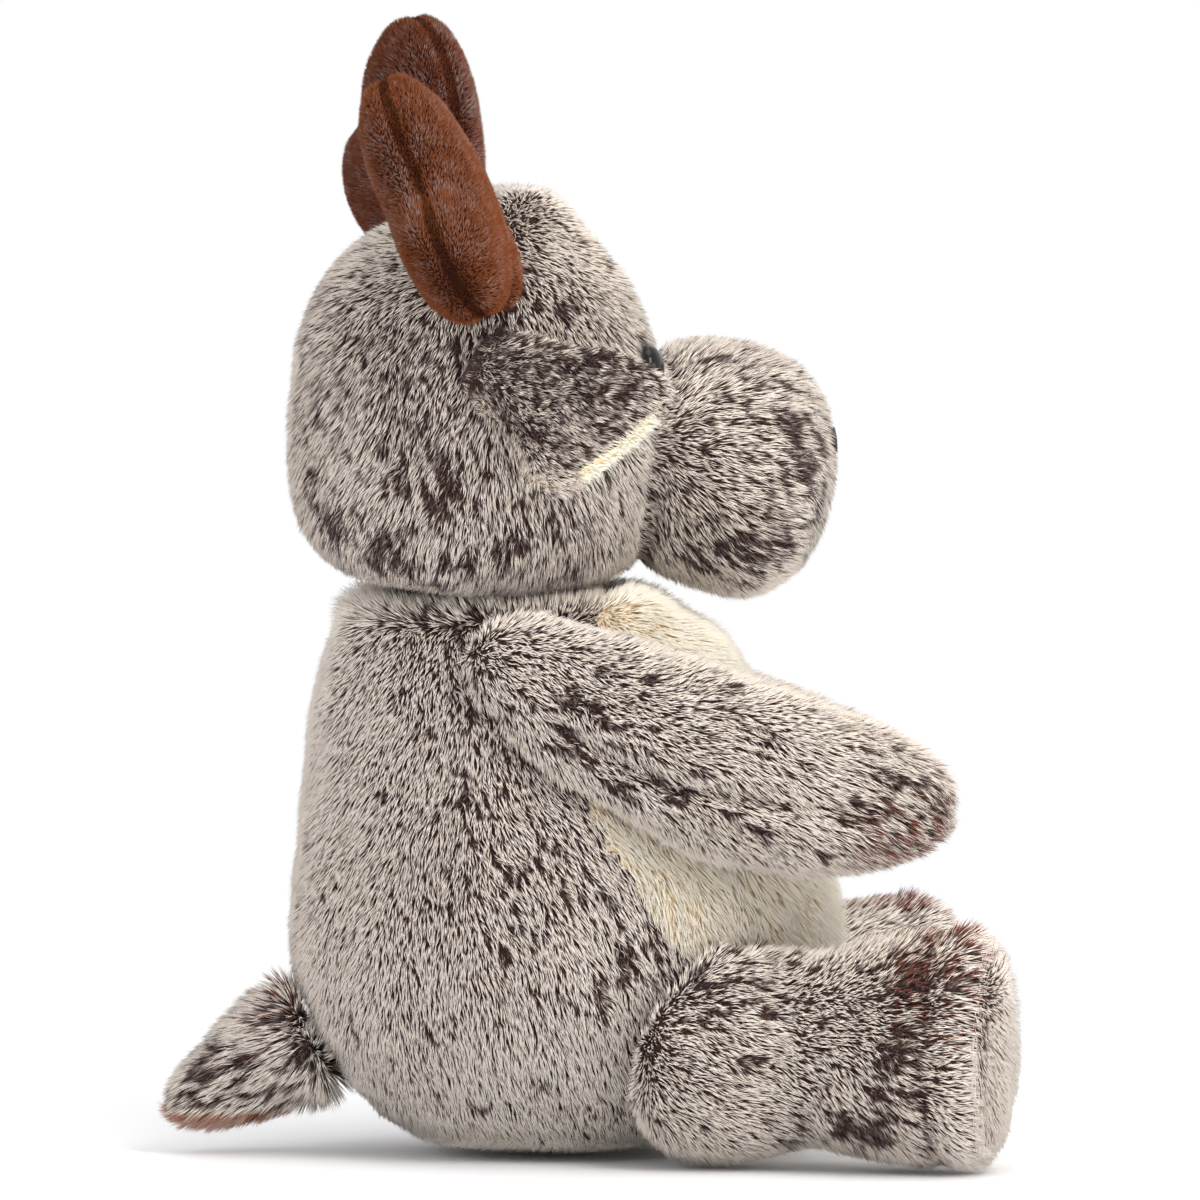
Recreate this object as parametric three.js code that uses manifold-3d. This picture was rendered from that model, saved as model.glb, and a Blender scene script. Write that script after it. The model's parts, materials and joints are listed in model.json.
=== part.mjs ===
// A seated plush deer of the moose kind: a stuffed cloth body with a ball head, padded antlers and
// sprung limbs. It faces +X, its left side is +Y and +Z is up. It sits on the plane z = 0.
import * as THREE from 'three';
import { mergeVertices } from 'three/addons/utils/BufferGeometryUtils.js';
import Module from 'manifold-3d';

const wasm = await Module();
wasm.setup();

// Cloth and gaps, in millimetres
const cloth = 3;
const shortCloth = 2;
const gap = 0.3;
const sweepClearance = 0.35;
const floorCut = 0.5;

// Torso
const torsoHeight = 188;
const torsoDepth = 172;
const torsoWidth = 152;
const seatSeamHeight = 18;

// Head and muzzle
const headHeight = 126;
const headDepth = 119;
const headWidth = 123;
const headBase = 176.5;
const headSetback = 27;
const muzzleLength = 78.5;
const muzzleRoot = 8;
const muzzleHeight = 82;
const muzzleWidth = 92;
const muzzleLevel = 214.5;

// Neck, the ball of stuffing that the head turns and nods on
const neckSetback = 24;
const neckLevel = 182;
const neckRadius = 26;
const neckDrop = 30;
const neckFoot = 20;

// Antlers
const antlerHeight = 78;
const antlerSpan = 72;
const antlerThickness = 30;
const antlerSetback = 30;
const antlerOut = 42;
const antlerLevel = 272;

// Ears
const earLength = 73.5;
const earWidth = 49;
const earThickness = 13;
const earSetback = 43;
const earOut = 51;
const earLevel = 250;
const earRise = 4;

// Arms
const armReach = 136;
const armDrop = 44;
const armHeight = 64;
const armWidth = 50;
const armSetback = 17;
const armLevel = 157;
const shoulderOut = 46;
const armSpread = 28;

// Legs
const legReach = 97;
const legSpread = 30;
const legHeight = 74;
const legWidth = 64;
const hipForward = 35;
const hipOut = 54;
const hipLevel = 37;
const footHeight = 77;
const footWidth = 68;
const soleDepth = 22;

// Tail
const tailReach = 54;
const tailFall = 20;
const tailHeight = 45;
const tailWidth = 38;
const tailSetback = 70;
const tailLevel = 38;

// Pellet bag
const bagRadius = 52;
const bagHeight = 34;

// Eyes, washers and nostrils
const eyeRadius = 6.5;
const eyeHeight = 4.5;
const eyeRim = 0.8;
const shankRadius = 2;
const shankLength = 11;
const washerRadius = 7;
const washerThickness = 1.6;
const eyeOut = 28;
const eyeLevel = 250;
const nostrilLength = 12;
const nostrilHeight = 8;
const nostrilThickness = 1.6;
const nostrilOut = 15;
const nostrilLevel = 225;

// Turns, in degrees
const antlerSweepTurn = 16;
const antlerLean = { right: 28, left: 5 };
const headLean = 8;
const headAside = 7;
const earTilt = 17;
const earSeamTurn = 12;
const earOutTurn = 32;
const headTurnRange = 18;
const headNodRange = 7;
const armUpRange = 32;
const armDownRange = 4;
const legRange = 10;
const tailRange = 15;
const earRange = 14;
const antlerRange = 8;
const sweepStep = 6;

// Facets
const bodySides = 24;
const limbSides = 18;
const linerSides = 16;
const smallSides = 12;
const padSides = 28;
const neckSteps = 6;

// How far a cutting solid runs past what it cuts
const reach = 2 * (torsoHeight + headHeight);

// Outlines as shares. Each row: place along the form, shift of its centre, half width, and half height
// or depth.
const torsoShares = [
  [0, 0, 0, 0],
  [0, 0, 0.31, 0.315],
  [0.009, 0, 0.42, 0.425],
  [0.036, 0, 0.555, 0.56],
  [0.08, 0.001, 0.69, 0.696],
  [0.135, 0.004, 0.81, 0.814],
  [0.21, 0.006, 0.92, 0.93],
  [0.308, 0.012, 0.996, 1.012],
  [0.41, 0.006, 0.986, 1.007],
  [0.58, -0.008, 0.913, 0.942],
  [0.745, -0.034, 0.801, 0.844],
  [0.85, -0.06, 0.698, 0.736],
  [0.915, -0.082, 0.622, 0.64],
  [0.968, -0.115, 0.49, 0.485],
  [0.994, -0.127, 0.25, 0.26],
  [1, -0.13, 0, 0],
];
const headShares = [
  [0, 0.03, 0, 0],
  [0.012, 0.025, 0.48, 0.48],
  [0.052, 0.01, 0.79, 0.79],
  [0.14, 0, 0.935, 0.93],
  [0.266, 0, 0.997, 0.99],
  [0.393, 0, 1, 1],
  [0.517, -0.003, 0.975, 0.985],
  [0.6, -0.006, 0.94, 0.95],
  [0.694, -0.01, 0.875, 0.88],
  [0.78, -0.01, 0.79, 0.78],
  [0.845, -0.004, 0.69, 0.66],
  [0.93, 0.03, 0.48, 0.44],
  [0.98, 0.09, 0.27, 0.24],
  [1, 0.13, 0, 0],
];
const muzzleShares = [
  [0, 0, 0, 0],
  [0.02, 0.01, 0.5, 0.55],
  [0.27, 0.02, 0.85, 0.86],
  [0.45, 0.015, 0.975, 0.99],
  [0.6, -0.02, 1, 1],
  [0.72, -0.015, 0.95, 0.95],
  [0.85, 0, 0.78, 0.78],
  [0.945, 0.015, 0.52, 0.52],
  [0.985, 0.02, 0.28, 0.28],
  [1, 0.02, 0, 0],
];
// Each row of a limb: place along its reach, its fall and its outward bow, then half width and half height
const armShares = [
  [-0.2, 0.16, 0, 0, 0],
  [-0.165, 0.16, 0.02, 0.42, 0.34],
  [-0.081, 0.16, 0.14, 0.72, 0.64],
  [0.05, 0.36, 0.3, 0.92, 0.97],
  [0.213, 0.51, 0.5, 1, 0.985],
  [0.404, 0.709, 0.82, 1, 1],
  [0.6, 0.864, 1, 0.97, 0.94],
  [0.757, 0.95, 0.98, 0.88, 0.79],
  [0.893, 0.982, 0.9, 0.69, 0.58],
  [0.967, 0.995, 0.85, 0.42, 0.33],
  [1, 1, 0.83, 0, 0],
];
// Each row of the leg: place along its reach, its rise to the foot's level, its shares of leg and of foot
const legShares = [
  [-0.17, 0, 0, 0],
  [-0.15, 0, 0.62, 0],
  [-0.05, 0, 0.95, 0],
  [0.1, 0, 1.01, 0],
  [0.25, 0.05, 0.94, 0],
  [0.38, 0.2, 0.7, 0.12],
  [0.52, 0.5, 0.4, 0.5],
  [0.68, 0.85, 0.08, 0.88],
  [0.83, 1, 0, 1],
  [0.935, 1, 0, 0.95],
  [0.985, 1, 0, 0.78],
  [1, 1, 0, 0],
];
const tailShares = [
  [-0.12, -0.1, 0, 0, 0],
  [-0.1, -0.08, 0, 0.6, 0.6],
  [0.1, 0.06, 0, 1, 1],
  [0.4, 0.3, 0, 0.97, 0.93],
  [0.68, 0.68, 0, 0.8, 0.72],
  [0.88, 0.95, 0, 0.52, 0.46],
  [0.975, 1.06, 0, 0.26, 0.22],
  [1, 1.08, 0, 0, 0],
];
// Each row of the ear: place along it, the drop of its middle, its cup, then half width and half thickness
const earShares = [
  [-0.03, 0, 0, 0, 0],
  [0, 0, 0, 0.56, 0.8],
  [0.19, 0.03, 0.04, 0.63, 1],
  [0.32, -0.08, 0.07, 0.8, 1],
  [0.42, -0.24, 0.09, 1.04, 1],
  [0.5, -0.275, 0.1, 1.06, 1],
  [0.6, -0.255, 0.1, 1, 0.95],
  [0.71, -0.2, 0.08, 0.83, 0.88],
  [0.84, -0.13, 0.04, 0.57, 0.78],
  [0.93, -0.08, 0.01, 0.31, 0.6],
  [1, -0.05, 0, 0, 0],
];
// How far along the ear's rows the seam between its two leaves runs through their middle
const earSeamShare = 0.4;
// The antler's outline seen from the front: outward and upward shares, round its pad
const antlerShares = [
  [-0.13, -0.07],
  [0.13, -0.07],
  [0.24, 0.01],
  [0.5, -0.03],
  [0.74, 0.1],
  [0.81, 0.29],
  [0.72, 0.46],
  [0.55, 0.55],
  [0.5, 0.66],
  [0.44, 0.86],
  [0.25, 1],
  [0.02, 0.96],
  [-0.14, 0.78],
  [-0.19, 0.52],
  [-0.16, 0.22],
];
const antlerHeartShares = [0.24, 0.42];
// Where the tail's two cloths meet, below its middle
const tailSeamShare = 0.44;
// How much of the pellet bag's breadth lies on the seat panel
const bagFootShare = 0.7;
// Where the padding lies between the antler's heart and its rim, and how full it is there
const padShares = [
  [0, 1],
  [0.45, 0.965],
  [0.74, 0.79],
  [0.93, 0.46],
  [1, 0],
];
// The belly seam seen from the side: forward and upward shares of the torso
const bellySeamShares = [
  [0.08, 1.1],
  [0.065, 0.92],
  [0.035, 0.78],
  [0.02, 0.66],
  [0.035, 0.58],
  [0.095, 0.5],
  [0.15, 0.41],
  [0.22, 0.33],
  [0.35, 0.25],
  [0.6, 0.2],
  [1, 0.19],
  [1, 1.1],
];

const plush = { color: 0xa8998f, roughness: 0.95 };
const cream = { color: 0xefe6cf, roughness: 0.95 };
const antlerFront = { color: 0x93551f, roughness: 0.85 };
const antlerBack = { color: 0x7a431d, roughness: 0.85 };
const tailBrown = { color: 0x6e4026, roughness: 0.9 };
const stuffing = { color: 0xf1efea, roughness: 1 };
const bagCloth = { color: 0xd8d2c4, roughness: 0.9 };
const eyeBlack = { color: 0x120d0b, roughness: 0.08 };
const washerWhite = { color: 0xe9e9e4, roughness: 0.4 };
const stitchBrown = { color: 0x2f1f1b, roughness: 0.6 };

const radians = THREE.MathUtils.degToRad;
const forward = new THREE.Vector3(1, 0, 0);
const leftward = new THREE.Vector3(0, 1, 0);
const upward = new THREE.Vector3(0, 0, 1);

/** A closed soft form of oval rings, smoothed through its stations and drawn to a point at each end. */
function softForm(stations, side, lift, sides) {
  const places = new THREE.CatmullRomCurve3(stations.map((station) => station.at));
  const sizes = new THREE.CatmullRomCurve3(
    stations.map((station) => new THREE.Vector3(station.wide, station.high, 0)),
  );
  const rings = stations.length - 1;
  const points = [stations[0].at.clone()];
  for (let ring = 1; ring < rings; ring++) {
    const centre = places.getPoint(ring / rings);
    const size = sizes.getPoint(ring / rings);
    for (let corner = 0; corner < sides; corner++) {
      const turn = (2 * Math.PI * corner) / sides;
      points.push(
        centre
          .clone()
          .addScaledVector(side, size.x * Math.cos(turn))
          .addScaledVector(lift, size.y * Math.sin(turn)),
      );
    }
  }
  points.push(stations[stations.length - 1].at.clone());
  return stitched(points, rings, sides);
}

/** The faces of a form whose points are a pole, its rings in order and another pole. */
function stitched(points, rings, sides) {
  const last = points.length - 1;
  const index = [];
  for (let corner = 0; corner < sides; corner++) {
    const next = (corner + 1) % sides;
    index.push(0, 1 + next, 1 + corner);
    for (let ring = 0; ring < rings - 2; ring++) {
      const here = 1 + ring * sides;
      const there = here + sides;
      index.push(here + corner, here + next, there + next);
      index.push(here + corner, there + next, there + corner);
    }
    index.push(last, last - sides + corner, last - sides + next);
  }
  const geometry = new THREE.BufferGeometry().setFromPoints(points);
  geometry.setIndex(index);
  return outwards(geometry);
}

/** The same closed geometry with its faces pointing out. */
function outwards(geometry) {
  const [position, index] = [geometry.getAttribute('position'), geometry.getIndex()];
  const [a, b, c] = [new THREE.Vector3(), new THREE.Vector3(), new THREE.Vector3()];
  let volume = 0;
  for (let i = 0; i < index.count; i += 3) {
    a.fromBufferAttribute(position, index.getX(i));
    b.fromBufferAttribute(position, index.getX(i + 1));
    c.fromBufferAttribute(position, index.getX(i + 2));
    volume += a.dot(b.cross(c));
  }
  return volume < 0 ? flipped(geometry) : geometry;
}

/** The same geometry with every face turned over. */
function flipped(geometry) {
  const index = Array.from(geometry.getIndex().array);
  for (let i = 0; i < index.length; i += 3) {
    [index[i + 1], index[i + 2]] = [index[i + 2], index[i + 1]];
  }
  geometry.setIndex(index);
  return geometry;
}

/** A copy of a form whose skin has moved outwards by a distance, or inwards where it is negative. */
function grown(form, distance) {
  const geometry = form.clone();
  geometry.computeVertexNormals();
  const position = geometry.getAttribute('position');
  const normal = geometry.getAttribute('normal');
  const [point, out] = [new THREE.Vector3(), new THREE.Vector3()];
  for (let i = 0; i < position.count; i++) {
    point.fromBufferAttribute(position, i);
    out.fromBufferAttribute(normal, i);
    point.addScaledVector(out, distance);
    position.setXYZ(i, point.x, point.y, point.z);
  }
  geometry.deleteAttribute('normal');
  return geometry;
}

/** The mirror image of a geometry, from the deer's right side to its left. */
function mirrored(geometry) {
  return flipped(geometry.clone().scale(1, -1, 1));
}

/** A manifold solid from a closed three.js geometry. */
function solid(geometry) {
  let closed = geometry.clone();
  closed.deleteAttribute('normal');
  closed.deleteAttribute('uv');
  closed = mergeVertices(closed);
  const vertProperties = new Float32Array(closed.getAttribute('position').array);
  const triVerts = new Uint32Array(closed.getIndex().array);
  return new wasm.Manifold(new wasm.Mesh({ numProp: 3, vertProperties, triVerts }));
}

/** A three.js geometry from a manifold solid. */
function geometryOf(body) {
  const { vertProperties, triVerts } = body.getMesh();
  const geometry = new THREE.BufferGeometry();
  geometry.setAttribute('position', new THREE.BufferAttribute(vertProperties, 3));
  geometry.setIndex(new THREE.BufferAttribute(triVerts, 1));
  return geometry;
}

/** The space on one side of a plane: the side that the direction points to. */
function space(point, direction) {
  const box = new THREE.BoxGeometry(reach, reach, reach).translate(0, 0, reach / 2);
  const turn = new THREE.Quaternion().setFromUnitVectors(upward, direction.clone().normalize());
  return solid(box.applyQuaternion(turn).translate(point.x, point.y, point.z));
}

/** A solid joined with copies of itself turned about an axis through a pivot. */
function swept(body, pivot, axis, angles) {
  let whole = null;
  for (const angle of angles) {
    const copy = body.transform(turnMatrix(pivot, axis, angle).elements);
    whole = whole ? whole.add(copy) : copy;
  }
  return whole;
}

/** The matrix of a turn in degrees about an axis through a pivot. */
function turnMatrix(pivot, axis, angle) {
  return poseMatrix(pivot, new THREE.Quaternion().setFromAxisAngle(axis, radians(angle)));
}

/** The matrix of any turn about a pivot. */
function poseMatrix(pivot, turn) {
  return new THREE.Matrix4()
    .makeTranslation(pivot.x, pivot.y, pivot.z)
    .multiply(new THREE.Matrix4().makeRotationFromQuaternion(turn))
    .multiply(new THREE.Matrix4().makeTranslation(-pivot.x, -pivot.y, -pivot.z));
}

/** A form, and the same form with fewer facets for its lining and stuffing. */
function formPair(stations, side, lift, sides, innerSides) {
  return {
    outer: softForm(stations, side, lift, sides),
    inner: softForm(stations, side, lift, innerSides),
  };
}

/** The angles of a sweep in even steps of a few degrees: zero, then on to its low end and its high one. */
function sweepAngles(low, high) {
  const angles = [0];
  for (const end of [low, high]) {
    const steps = Math.ceil(Math.abs(end) / sweepStep);
    for (let step = 1; step <= steps; step++) {
      angles.push((end * step) / steps);
    }
  }
  return angles;
}

/** Stations of an upright form from its rows of shares. */
function uprightStations(shares, base, height, depth, width, centreX) {
  return shares.map(([rise, shift, widthShare, depthShare]) => ({
    at: new THREE.Vector3(centreX + shift * depth, 0, base + rise * height),
    wide: (depthShare * depth) / 2,
    high: (widthShare * width) / 2,
  }));
}

/** Stations of a limb on the deer's right side, from its root out along its reach. */
function limbStations(shares, root, span, width, height) {
  return shares.map(([along, fall, bow, widthShare, heightShare]) => ({
    at: root.clone().add(new THREE.Vector3(along * span.x, bow * span.y, fall * span.z)),
    wide: (widthShare * width) / 2,
    high: (heightShare * height) / 2,
  }));
}

/** A mesh of one piece of the deer. */
function piece(name, geometry, finish) {
  const material = new THREE.MeshStandardMaterial({ ...finish, metalness: 0 });
  const mesh = new THREE.Mesh(geometry, material);
  mesh.name = name;
  return mesh;
}

/** A group whose own origin is the pivot that its pieces move about. */
function bodyGroup(name, pivot, pieces) {
  const group = new THREE.Group();
  group.name = name;
  group.position.copy(pivot);
  group.updateMatrixWorld();
  for (const mesh of pieces) {
    group.attach(mesh);
  }
  return group;
}

/** A place on the deer's right side, mirrored for its left. */
function onSide(point, side) {
  return side === 'left' ? new THREE.Vector3(point.x, -point.y, point.z) : point.clone();
}

// The joints' pivots
const neckPivot = new THREE.Vector3(-neckSetback, 0, neckLevel);
const shoulder = new THREE.Vector3(-armSetback, -shoulderOut, armLevel);
const bagLevel = cloth + 2 * gap + bagHeight / 2;
const hip = new THREE.Vector3(hipForward, -hipOut, hipLevel);
const tailRoot = new THREE.Vector3(-tailSetback, 0, tailLevel);
const earRoot = new THREE.Vector3(-earSetback, -earOut, earLevel);
const antlerRoot = new THREE.Vector3(-antlerSetback, -antlerOut, antlerLevel);

// The soft forms of the torso, head and muzzle
const torsoStations = uprightStations(torsoShares, -floorCut, torsoHeight, torsoDepth, torsoWidth, 0);
const torso = formPair(torsoStations, forward, leftward, bodySides, linerSides);
const headStations = uprightStations(headShares, headBase, headHeight, headDepth, headWidth, -headSetback);
const head = formPair(headStations, forward, leftward, bodySides, linerSides);
const muzzleStations = muzzleShares.map(([along, shift, widthShare, heightShare]) => ({
  at: new THREE.Vector3(muzzleRoot + along * muzzleLength, 0, muzzleLevel + shift * muzzleHeight),
  wide: (widthShare * muzzleWidth) / 2,
  high: (heightShare * muzzleHeight) / 2,
}));
const muzzle = formPair(muzzleStations, leftward, upward, bodySides, linerSides);

/** How the head sits on the neck: turned a little aside and leaning to the deer's right. */
const headPose = new THREE.Quaternion()
  .setFromAxisAngle(upward, radians(headAside))
  .multiply(new THREE.Quaternion().setFromAxisAngle(forward, radians(headLean)));
const nodAxis = leftward.clone().applyQuaternion(headPose);

/** The head and muzzle, grown by a clearance, in every place that turning and nodding takes them to. */
function headSpace(clearance) {
  const whole = solid(grown(head.outer, clearance)).add(solid(grown(muzzle.outer, clearance)));
  const posed = whole.transform(poseMatrix(neckPivot, headPose).elements);
  const nods = swept(posed, neckPivot, nodAxis, [-headNodRange, headNodRange]);
  return swept(nods, neckPivot, upward, [-headTurnRange, 0, headTurnRange]);
}

// The neck's ball is round from a little below its middle to its top
const neckLowTurn = radians(-30);
const neckArc = Math.PI / 2 - neckLowTurn;

/** The neck's spindle of stuffing: a ball in the head on a tapered foot in the torso. */
function neckForm(clearance, sideClearance) {
  const radius = neckRadius + sideClearance;
  const outline = [new THREE.Vector2(0, -neckDrop - clearance)];
  outline.push(new THREE.Vector2(neckFoot + sideClearance, -neckDrop - clearance));
  for (let step = 0; step <= neckSteps; step++) {
    const turn = neckLowTurn + (step / neckSteps) * neckArc;
    outline.push(new THREE.Vector2(radius * Math.cos(turn), radius * Math.sin(turn)));
  }
  outline[outline.length - 1].x = 0;
  const lathe = new THREE.LatheGeometry(outline, linerSides);
  return lathe.rotateX(Math.PI / 2).translate(neckPivot.x, neckPivot.y, neckPivot.z);
}

/** The hollow that the neck turns in, wide enough for its corners to pass the hollow's flats. */
function neckSpace() {
  const flats = Math.cos(Math.PI / linerSides) * Math.cos(neckArc / neckSteps / 2);
  return solid(neckForm(gap, gap + neckRadius * (1 / flats - 1)));
}

/** The bag of pellets that weights the seat: a low round cushion. */
function pelletBagForm(clearance) {
  const bag = new THREE.SphereGeometry(1, linerSides, smallSides / 2).rotateX(Math.PI / 2);
  const half = bagHeight / 2 + clearance;
  return bag.scale(bagRadius + clearance, bagRadius + clearance, half).translate(0, 0, bagLevel);
}

/** The hollow that the bag fills in the stuffing, open towards the seat. */
function pelletBagSpace() {
  const radius = bagRadius * bagFootShare;
  const below = new THREE.CylinderGeometry(radius, radius, bagLevel, linerSides);
  below.rotateX(Math.PI / 2).translate(0, 0, bagLevel / 2);
  return solid(pelletBagForm(gap)).add(solid(below));
}

/** The torso's four panels, its stuffing and the bag of pellets in its seat. */
function torsoPieces() {
  const floor = space(new THREE.Vector3(), upward.clone().negate());
  const neckHole = neckSpace();
  const outside = solid(torso.outer).subtract(floor).subtract(headSpace(sweepClearance));
  const lining = solid(grown(torso.inner, -cloth)).subtract(headSpace(sweepClearance + cloth));
  const skin = outside.subtract(lining).subtract(neckHole);
  const room = solid(grown(torso.inner, -cloth - gap));
  const bag = solid(pelletBagForm(0)).intersect(room);
  const fill = room
    .subtract(headSpace(sweepClearance + cloth + gap))
    .subtract(neckHole)
    .subtract(pelletBagSpace());
  const seatSpace = space(new THREE.Vector3(0, 0, seatSeamHeight), upward.clone().negate());
  const seatGapSpace = space(new THREE.Vector3(0, 0, seatSeamHeight + gap), upward.clone().negate());
  const bellySpace = solid(bellySeamForm(0));
  const bellyGapSpace = solid(bellySeamForm(gap));
  const rightSpace = space(new THREE.Vector3(0, -gap / 2, 0), leftward.clone().negate());
  const leftSpace = space(new THREE.Vector3(0, gap / 2, 0), leftward);
  const upper = skin.subtract(seatGapSpace);
  const back = upper.subtract(bellyGapSpace);
  return [
    piece('torso_back_right', geometryOf(back.intersect(rightSpace)), plush),
    piece('torso_back_left', geometryOf(back.intersect(leftSpace)), plush),
    piece('belly_panel', geometryOf(upper.intersect(bellySpace)), cream),
    piece('seat_panel', geometryOf(skin.intersect(seatSpace)), plush),
    piece('torso_stuffing', geometryOf(fill), stuffing),
    piece('pellet_bag', geometryOf(bag), bagCloth),
  ];
}

/** The space in front of the belly's seam, moved back by a clearance. */
function bellySeamForm(clearance) {
  const outline = bellySeamShares.map(
    ([ahead, rise]) => new THREE.Vector2(ahead * torsoDepth - clearance, rise * torsoHeight - clearance),
  );
  const seam = new THREE.ExtrudeGeometry(new THREE.Shape(outline), { depth: reach, bevelEnabled: false });
  return seam.translate(0, 0, -reach / 2).rotateX(Math.PI / 2);
}

/** Where a straight line from inside a form comes out of it, and the way it faces there. */
function surfacePlace(form, origin, direction) {
  const mesh = new THREE.Mesh(form, new THREE.MeshBasicMaterial({ side: THREE.DoubleSide }));
  const hits = new THREE.Raycaster(origin, direction).intersectObject(mesh);
  const hit = hits[hits.length - 1];
  return { point: hit.point, normal: hit.face.normal.clone() };
}

/** The turn that takes +Z to a direction, at a place. */
function placed(geometry, place, outward) {
  const turn = new THREE.Quaternion().setFromUnitVectors(upward, outward);
  return geometry.applyQuaternion(turn).translate(place.x, place.y, place.z);
}

const eyeSeat = surfacePlace(head.outer, new THREE.Vector3(-headSetback, -eyeOut, eyeLevel), forward);
const nostrilStart = new THREE.Vector3(muzzleRoot, -nostrilOut, nostrilLevel);
const nostrilSeat = surfacePlace(muzzle.outer, nostrilStart, forward);

/** A round pin along the eye's shank, with a clearance round it. */
function eyeBore(radius, length) {
  const pin = new THREE.CylinderGeometry(radius, radius, length, smallSides);
  pin.rotateX(Math.PI / 2).translate(0, 0, -length / 2 + eyeHeight);
  return placed(pin, eyeSeat.point, eyeSeat.normal);
}

/** The head's cloth, muzzle, stuffing, eyes, washers and nostrils. */
function headPieces() {
  const neckHole = neckSpace();
  const headInside = solid(grown(head.inner, -cloth));
  const muzzleInside = solid(grown(muzzle.inner, -cloth));
  const bore = eyeBore(shankRadius + gap, shankLength + eyeHeight + gap);
  const boreSpace = solid(bore).add(solid(mirrored(bore)));
  const headSkin = solid(head.outer)
    .subtract(headInside)
    .subtract(muzzleInside)
    .subtract(neckHole)
    .subtract(boreSpace);
  const muzzleSkin = solid(muzzle.outer).subtract(muzzleInside).subtract(solid(grown(head.outer, gap)));
  const washerBore = eyeBore(washerRadius + gap, shankLength + eyeHeight + gap);
  const fill = solid(grown(head.inner, -cloth - gap))
    .add(solid(grown(muzzle.inner, -cloth - gap)))
    .subtract(neckHole)
    .subtract(solid(washerBore))
    .subtract(solid(mirrored(washerBore)));
  const [eye, washer, nostril] = [eyeGeometry(), washerGeometry(), nostrilGeometry()];
  return [
    piece('head_skin', geometryOf(headSkin), plush),
    piece('muzzle_skin', geometryOf(muzzleSkin), plush),
    piece('head_stuffing', geometryOf(fill), stuffing),
    piece('eye_right', eye, eyeBlack),
    piece('eye_left', mirrored(eye), eyeBlack),
    piece('eye_washer_right', washer, washerWhite),
    piece('eye_washer_left', mirrored(washer), washerWhite),
    piece('nostril_right', nostril, stitchBrown),
    piece('nostril_left', mirrored(nostril), stitchBrown),
  ];
}

/** A safety eye: a domed button on a plain shank that goes through the cloth. */
function eyeGeometry() {
  const outline = [new THREE.Vector2(0, -shankLength), new THREE.Vector2(shankRadius, -shankLength)];
  outline.push(new THREE.Vector2(shankRadius, gap), new THREE.Vector2(eyeRadius, gap));
  const domeSteps = smallSides / 3;
  for (let step = 0; step <= domeSteps; step++) {
    const turn = (Math.PI / 2) * (step / domeSteps);
    const rise = gap + eyeRim + (eyeHeight - eyeRim) * Math.sin(turn);
    outline.push(new THREE.Vector2(eyeRadius * Math.cos(turn), rise));
  }
  outline[outline.length - 1].x = 0;
  const lathe = new THREE.LatheGeometry(outline, smallSides).rotateX(Math.PI / 2);
  return geometryOf(solid(placed(lathe, eyeSeat.point, eyeSeat.normal)));
}

/** The washer that is pressed over the eye's shank behind the cloth. */
function washerGeometry() {
  const rim = new THREE.Shape().absarc(0, 0, washerRadius, 0, 2 * Math.PI);
  rim.holes.push(new THREE.Path().absarc(0, 0, shankRadius + gap, 0, 2 * Math.PI, true));
  const options = { depth: washerThickness, bevelEnabled: false, curveSegments: smallSides / 2 };
  const ring = new THREE.ExtrudeGeometry(rim, options);
  const depth = 2 * cloth + washerThickness;
  return geometryOf(solid(placed(ring.translate(0, 0, -depth), eyeSeat.point, eyeSeat.normal)));
}

/** A nostril of close stitches, a low oval on the front of the muzzle. */
function nostrilGeometry() {
  const oval = new THREE.SphereGeometry(1, smallSides, smallSides / 2);
  oval.scale(nostrilLength / 2, nostrilHeight / 2, nostrilThickness + gap);
  const stitches = solid(placed(oval, nostrilSeat.point, nostrilSeat.normal));
  return geometryOf(stitches.subtract(solid(grown(muzzle.outer, gap))));
}

/** The space that a form takes up while what stands on it turns about a pivot. */
function sweepSpace(form, pivot, axis, low, high) {
  return swept(solid(grown(form, sweepClearance)), pivot, axis, sweepAngles(low, high));
}

/** Cuts a form into an outer skin, open at its root, and the stuffing inside it. */
function stuffedPair(form, thickness, rootSpace) {
  const lining = solid(grown(form.inner, -thickness));
  return {
    skin: solid(form.outer).subtract(lining).subtract(rootSpace),
    fill: solid(grown(form.inner, -thickness - gap)).subtract(rootSpace),
  };
}

/** The arm on one side: a bent sausage, cut to clear the torso and head through its swing. */
function armPieces(side) {
  const span = new THREE.Vector3(armReach, -armSpread, -armDrop);
  const stations = limbStations(armShares, shoulder, span, armWidth, armHeight);
  for (const station of stations) {
    station.at = onSide(station.at, side);
  }
  const form = formPair(stations, leftward, upward, limbSides, smallSides);
  const core = solid(grown(torso.outer, sweepClearance)).add(headSpace(sweepClearance));
  const angles = sweepAngles(-armDownRange, armUpRange);
  return stuffedPair(form, cloth, swept(core, onSide(shoulder, side), leftward, angles));
}

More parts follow.
